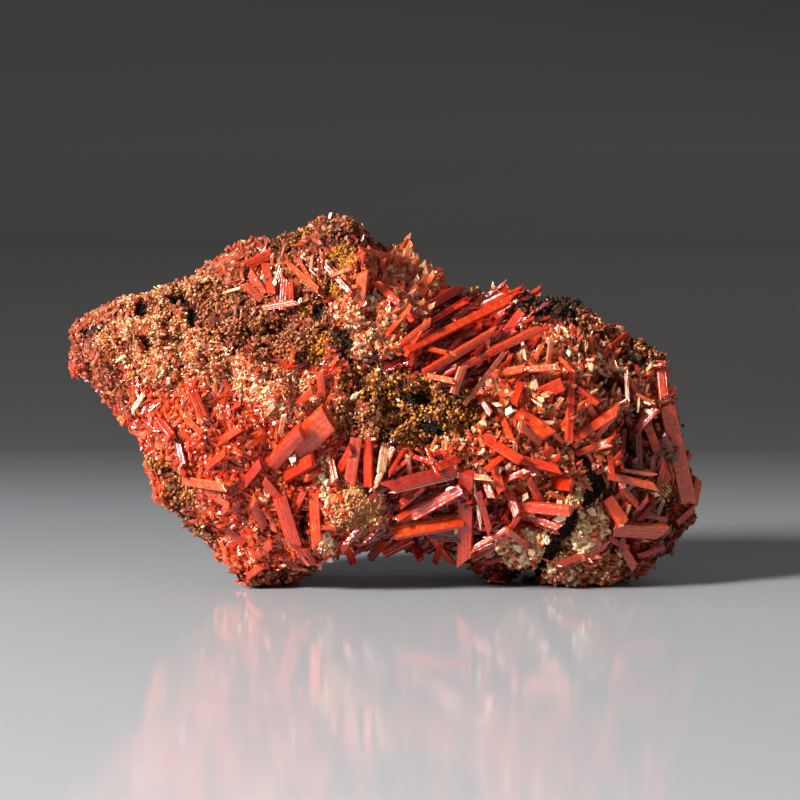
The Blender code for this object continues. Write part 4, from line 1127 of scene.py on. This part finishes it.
def clusterOf(places):
    # the cluster of the model that each place belongs to, or an empty name
    owner = np.full(len(places), "", dtype=object)
    nearest = np.full(len(places), growthHabit["clusterReach"] * mm)
    for name, node in nodes.items():
        if name == "gossan_matrix":
            continue
        corners = [v.co for v in node.data.vertices]
        tree = kdtree.KDTree(len(corners))
        for i, corner in enumerate(corners):
            tree.insert(corner, i)
        tree.balance()
        gap = np.array([tree.find(place)[2] for place in places])
        closer = gap < nearest
        owner[closer] = name
        nearest[closer] = gap[closer]
    return owner


def addPrisms(growths, shapes, grown, owners):
    root, along, length, width, tone, dust = grown
    number = len(root)
    axes = axesAlong(along, rng.uniform(0, math.pi, number))
    sizes = np.column_stack([width, width * between(*growthHabit["breadths"], number), length])
    lift = growthHabit["tipLift"]
    which = rng.integers(0, len(shapes), number)
    for name, growth in growths.items():
        for i, shape in enumerate(shapes):
            here = (owners == name) & (which == i)
            if here.any():
                growth.add(shape, root[here], axes[here], sizes[here], tone[here], dust[here], lift)


bladeHabit = {
    "clear": 0.4,  # of its width that a tip stays inside the model's box
    "shorten": 0.93,
    "deeper": 0.8,  # mm that a blade goes on behind its root
    "roll": 0.5,  # radians either way
    "breadths": (0.5, 0.8),  # of the width
    "tipLift": 0.06,
    "seenLifts": (0.5, 0.7),  # mm that a root and a tip stand before the rock, besides what the list gives
    "backLifts": (0.4, 1.1),
    "backTones": (0.4, 0.65),
    "backDust": 0.1,
    "beside": (0.5, 0.3, 0.3),  # of the slimmer blade: widths across, mm into the rock, widths up
    "slimmer": 0.6,
}


def addBlade(growth, shapes, root, tip, width, tone, dust, towards):
    # one blade, its broad face turned about towards the viewer, kept off the floor and in the model's box
    along = tip - root
    length = np.linalg.norm(along)
    along /= length
    while length > mm and not inBox((root + along * length)[None], width * bladeHabit["clear"])[0]:
        length *= bladeHabit["shorten"]
    deeper, roll = bladeHabit["deeper"], bladeHabit["roll"]
    root = root - along * deeper * mm
    root[2] = max(root[2], deeper * mm)
    axes = axesAlong(along[None], np.array([dice.uniform(-roll, roll)]), np.array([towards]))
    sizes = np.array([[width, width * dice.uniform(*bladeHabit["breadths"]), length + deeper * mm]])
    lift = bladeHabit["tipLift"]
    growth.add(dice.choice(shapes), root[None], axes, sizes, np.array([tone]), np.array([dust]), lift)


def rockBehind(tree, px, py):
    # how far off a pixel's sight line meets the rock, drawn towards the specimen's middle until it does
    middleX, middleY = photoView["middle"]
    tries, nearer = photoView["inwards"]
    for step in range(tries):
        inward = 1 - nearer * step
        line = sightLine(middleX + (px - middleX) * inward, middleY + (py - middleY) * inward)
        hit = tree.ray_cast(Vector(eyePoint()), line)
        if hit[0]:
            return hit[3]
    raise ValueError(f"no rock near {px}, {py}")


def addSeenBlades(growth, shapes, tree, blades):
    eye = eyePoint()
    forward = viewAxes()[0]
    rootLift, tipLift = bladeHabit["seenLifts"]
    for x0, y0, x1, y1, wide, stand, tone in blades:
        rootPoint = eye + np.array(sightLine(x0, y0)) * (rockBehind(tree, x0, y0) - rootLift * mm)
        tipPoint = eye + np.array(sightLine(x1, y1)) * (rockBehind(tree, x1, y1) - (tipLift + stand) * mm)
        zone = zoneNumbers(rootPoint[None], -forward[None])
        dust = growthHabit["seenDust"] * dustOn(zone)[0]
        addBlade(growth, shapes, rootPoint, tipPoint, wide * pixelSize, tone, dust, forward)


def addBackBlades(growth, shapes, tree, blades):
    # the back's blades, placed straight along Y, each with a slimmer one beside it
    shift = bladesBehind["placed"]
    rootLift, tipLift = bladeHabit["backLifts"]
    beside, inwards, above = bladeHabit["beside"]
    tones, dust, backward = bladeHabit["backTones"], bladeHabit["backDust"], (0, 1, 0)
    for rootX, rootZ, tipX, tipZ, wide, stand in blades:
        ends = []
        for x, z, lift in ((rootX, rootZ, rootLift), (tipX, tipZ, tipLift + stand)):
            hit = tree.ray_cast(Vector((x + shift, 100.0, z)) * mm, Vector((0, -1, 0)))[0]
            ends.append(np.array([(x + shift) * mm, hit.y + lift * mm, z * mm]))
        root, tip = ends
        side = np.array([beside * wide * mm, -inwards * mm, above * wide * mm])
        addBlade(growth, shapes, root, tip, wide * mm, dice.uniform(*tones), dust, backward)
        slim = bladeHabit["slimmer"] * wide * mm
        addBlade(growth, shapes, root + side, tip + side, slim, dice.uniform(*tones), dust, backward)


def addChips(growth, shapes, tree, scatter):
    # the pale chips read from the picture, then the scattered ones
    eye = eyePoint()
    forward, right, up = viewAxes()
    tilted = chipForm["tilted"]
    for px, py, wide, high, turn in chipsSeen:
        place = eye + np.array(sightLine(px, py)) * (rockBehind(tree, px, py) - chipForm["forward"] * mm)
        a = math.radians(-turn)
        facing = forward + tilted * right * dice.uniform(-1, 1) + tilted * up * dice.uniform(-1, 1)
        along = up * math.cos(a) - right * math.sin(a)
        along -= facing * (along @ facing) / (facing @ facing)
        along /= np.linalg.norm(along)
        sizes = np.array([[wide * pixelSize, dice.uniform(*chipForm["thickness"]) * mm, high * pixelSize]])
        if inBox(place[None], 0.5 * high * pixelSize)[0]:
            axes = axesAlong(along[None], np.zeros(1), facing[None])
            shape = dice.choice(shapes)
            tone = np.array([dice.uniform(*chipForm["tones"])])
            growth.add(shape, place[None], axes, sizes, tone, np.zeros(1))
    most = max(recipe["plates"][0] for recipe in recipes.values() if "plates" in recipe)
    place, normal, numbers = scatter(most)
    share, small, large = (recipeColumn(numbers, lambda r: r.get("plates", (0, 1, 1))[i]) for i in range(3))
    number = len(place)
    size = (between(small, large, number) * mm)[:, None] * between(*chipForm["scatteredSizes"], (number, 3))
    size[:, 1] *= chipForm["flat"]
    keep = (rng.random(number) < share / most) & inBox(place, size.max(axis=1))
    tone = between(*chipForm["scatteredTones"], keep.sum())
    clean = np.zeros(keep.sum())
    addBits(growth, shapes, place[keep], normal[keep], size[keep], tone, clean, chipForm["upright"])
    print(f"plates: {keep.sum()}")


# floor, light and camera

stageLook = {
    # how the pale floor darkens behind the specimen and turns into the backdrop, with shade painted in for
    # the light falling off towards the back: metres behind it, colour
    "tones": [
        (-0.20, "#a6aab1"), (-0.03, "#a8acb3"), (0.10, "#8c9198"), (0.15, "#767a80"),
        (0.215, "#55575b"), (0.33, "#515153"), (1.0, "#4e4e4f"), (1.3, "#464647"),
    ],
    "half": (3.2, 1.6),  # metres to each side, and to the front and the back
    "strips": 120,
    "bendFrom": 1.0,  # metres behind the specimen where the backdrop starts to rise
    "bend": 1.3,  # how fast it rises
    "roughness": 0.09,
    "ior": 1.17,
}


def buildStage():
    # a floor that curves up into a grey backdrop, its colour darker towards the back as painted shade
    halfWidth, halfDepth = stageLook["half"]
    bm = bmesh.new()
    bmesh.ops.create_grid(bm, x_segments=1, y_segments=stageLook["strips"], size=halfDepth)
    for v in bm.verts:
        v.co.x *= halfWidth / halfDepth
        over = v.co.y - stageLook["bendFrom"]
        if over > 0:
            v.co.z = stageLook["bend"] * over * over
    mesh = bpy.data.meshes.new("floor")
    bm.to_mesh(mesh)
    bm.free()
    mesh.shade_smooth()
    floor = bpy.data.objects.new("floor", mesh)
    bpy.context.scene.collection.objects.link(floor)
    made, tree, shader = newMaterial("pale_satin_acrylic")
    place = addNode(tree, "ShaderNodeTexCoord")
    parts = addNode(tree, "ShaderNodeSeparateXYZ", None, {"Vector": place.outputs["Object"]})
    near, far = stageLook["tones"][0][0], stageLook["tones"][-1][0]
    run = addNode(tree, "ShaderNodeMapRange", None, {"Value": parts.outputs["Y"]})
    run.inputs["From Min"].default_value = near
    run.inputs["From Max"].default_value = far
    ramp = addNode(tree, "ShaderNodeValToRGB", None, {"Fac": run.outputs["Result"]})
    setStops(ramp, [((y - near) / (far - near), hexCode) for y, hexCode in stageLook["tones"]])
    tree.links.new(ramp.outputs["Color"], shader.inputs["Base Color"])
    shader.inputs["Roughness"].default_value = stageLook["roughness"]
    shader.inputs["IOR"].default_value = stageLook["ior"]
    floor.data.materials.append(made)


studioLight = {
    "aim": (0, 0, 0.028),
    # place and size in metres, power in watts, colour, and whether it shows in glossy faces:
    # the back lamp lifts the shaded side without a sheen on the upper faces
    "lamps": {
        "key": ((-0.76, -0.56, 0.54), 0.26, 33.0, (1.0, 0.96, 0.90), True),
        "fill": ((0.6, -0.9, 0.5), 0.7, 0.8, (1.0, 0.95, 0.88), True),
        "back": ((0.35, 0.85, 0.60), 1.1, 2.6, (1.0, 1.0, 1.0), False),
    },
    "room": ((0.55, 0.52, 0.48, 1.0), 0.23),  # colour and strength
}


def buildLights():
    for name, (place, size, power, colour, glossy) in studioLight["lamps"].items():
        light = bpy.data.lights.new(name, "AREA")
        light.shape = "DISK"
        light.size = size
        light.energy = power
        light.color = colour
        lamp = bpy.data.objects.new(name, light)
        lamp.location = place
        lamp.rotation_mode = "QUATERNION"
        lamp.rotation_quaternion = (Vector(studioLight["aim"]) - Vector(place)).to_track_quat("-Z", "Y")
        lamp.visible_glossy = glossy
        bpy.context.scene.collection.objects.link(lamp)
    world = bpy.data.worlds.new("studio")
    world.use_nodes = True
    colour, strength = studioLight["room"]
    world.node_tree.nodes["Background"].inputs["Color"].default_value = colour
    world.node_tree.nodes["Background"].inputs["Strength"].default_value = strength
    bpy.context.scene.world = world
    bpy.context.scene.view_settings.view_transform = "Standard"


def buildCamera():
    forward = Vector(viewAxes()[0])
    data = bpy.data.cameras.new("camera")
    data.sensor_width = photoView["sensor"]
    data.lens = photoView["sensor"] * photoView["distance"] / photoView["widthSeen"]
    camera = bpy.data.objects.new("camera", data)
    camera.location = Vector(eyePoint())
    camera.rotation_mode = "QUATERNION"
    camera.rotation_quaternion = forward.to_track_quat("-Z", "Y")
    bpy.context.scene.collection.objects.link(camera)
    bpy.context.scene.camera = camera


def dressRock(gossan):
    skin = evenSkin()
    points, normals = carveSkin(skin)
    skin.data.materials.append(gossan)
    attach(skin, "root")
    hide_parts("gossan_matrix")
    print(f"rock skin: {len(skin.data.polygons)} faces")
    return skinSamples(skin, points, normals)


def dressCrystals(scatter, tree, crocoite):
    prismShapes = [prismShape(*form) for form in prismForms["crystals"]]
    bladeShapes = [bladeShape(seed) for seed in range(bladeForm["shapes"])]
    clusters = [name for name in nodes if name != "gossan_matrix"]
    growths = {name: Growth() for name in [*clusters, ""]}
    grown = growKind(scatter, "prisms")
    addPrisms(growths, prismShapes, grown, clusterOf(grown[0] + grown[1] * (grown[2] / 2)[:, None]))
    for name in clusters:
        addSeenBlades(growths[name], bladeShapes, tree, bladesSeen.get(name, []))
        addBackBlades(growths[name], bladeShapes, tree, bladesBehind.get(name, []))
        showPiece(name + "_crystals", growths[name], crocoite, [name])
    showPiece("scattered_crystals", growths[""], crocoite)
    sugar = Growth()
    bits = seedBits(scatter, "sugar")
    addBits(sugar, prismShapes, *bits, growthHabit["bitsUpright"], growthHabit["bitsStretch"])
    showPiece("crystal_bits", sugar, crocoite)


def dressCrumbs(scatter, tree, crumbs, ochre, buff):
    bits = seedBits(scatter, "grains")
    inFront = bits[1][:, 1] < 0
    shapes = [crumbShape(seed) for seed in range(crumbForm["shapes"])]
    upright = crumbForm["upright"]
    for name, side in (("limonite_crumbs_front", inFront), ("limonite_crumbs_back", ~inFront)):
        grains = Growth()
        addBits(grains, shapes, *(values[side] for values in bits), upright, crumbForm["stretch"])
        showPiece(name, grains, crumbs, faceted=False)
    yellow = Growth()
    addBits(yellow, shapes, *seedBits(scatter, "ochre"), upright, crumbForm["ochreStretch"])
    showPiece("ochre_crumbs", yellow, ochre, faceted=False)
    needles = Growth()
    grown = growKind(scatter, "needles")
    needleShapes = [prismShape(*form) for form in prismForms["needles"]]
    addPrisms({"": needles}, needleShapes, grown, np.full(len(grown[0]), "", dtype=object))
    showPiece("buff_needles", needles, buff)
    chips = Growth()
    addChips(chips, [chipShape(seed) for seed in range(chipForm["shapes"])], tree, scatter)
    showPiece("buff_chips", chips, buff)


buildStage()
buildLights()
buildCamera()
print("floor, lamps and camera are set")
rock = rockCopy()
rockTree = BVHTree.FromBMesh(rock)
rock.free()
seedRock = dressRock(gossanMaterial("weathered_limonite", gossanFinish["stops"], True))
dressCrystals(seedRock, rockTree, crocoiteMaterial())
crumbs = gossanMaterial("limonite_crumbs", gossanFinish["stops"])
ochre = gossanMaterial("yellow_ochre", gossanFinish["ochreStops"])
dressCrumbs(seedRock, rockTree, crumbs, ochre, buffMaterial())
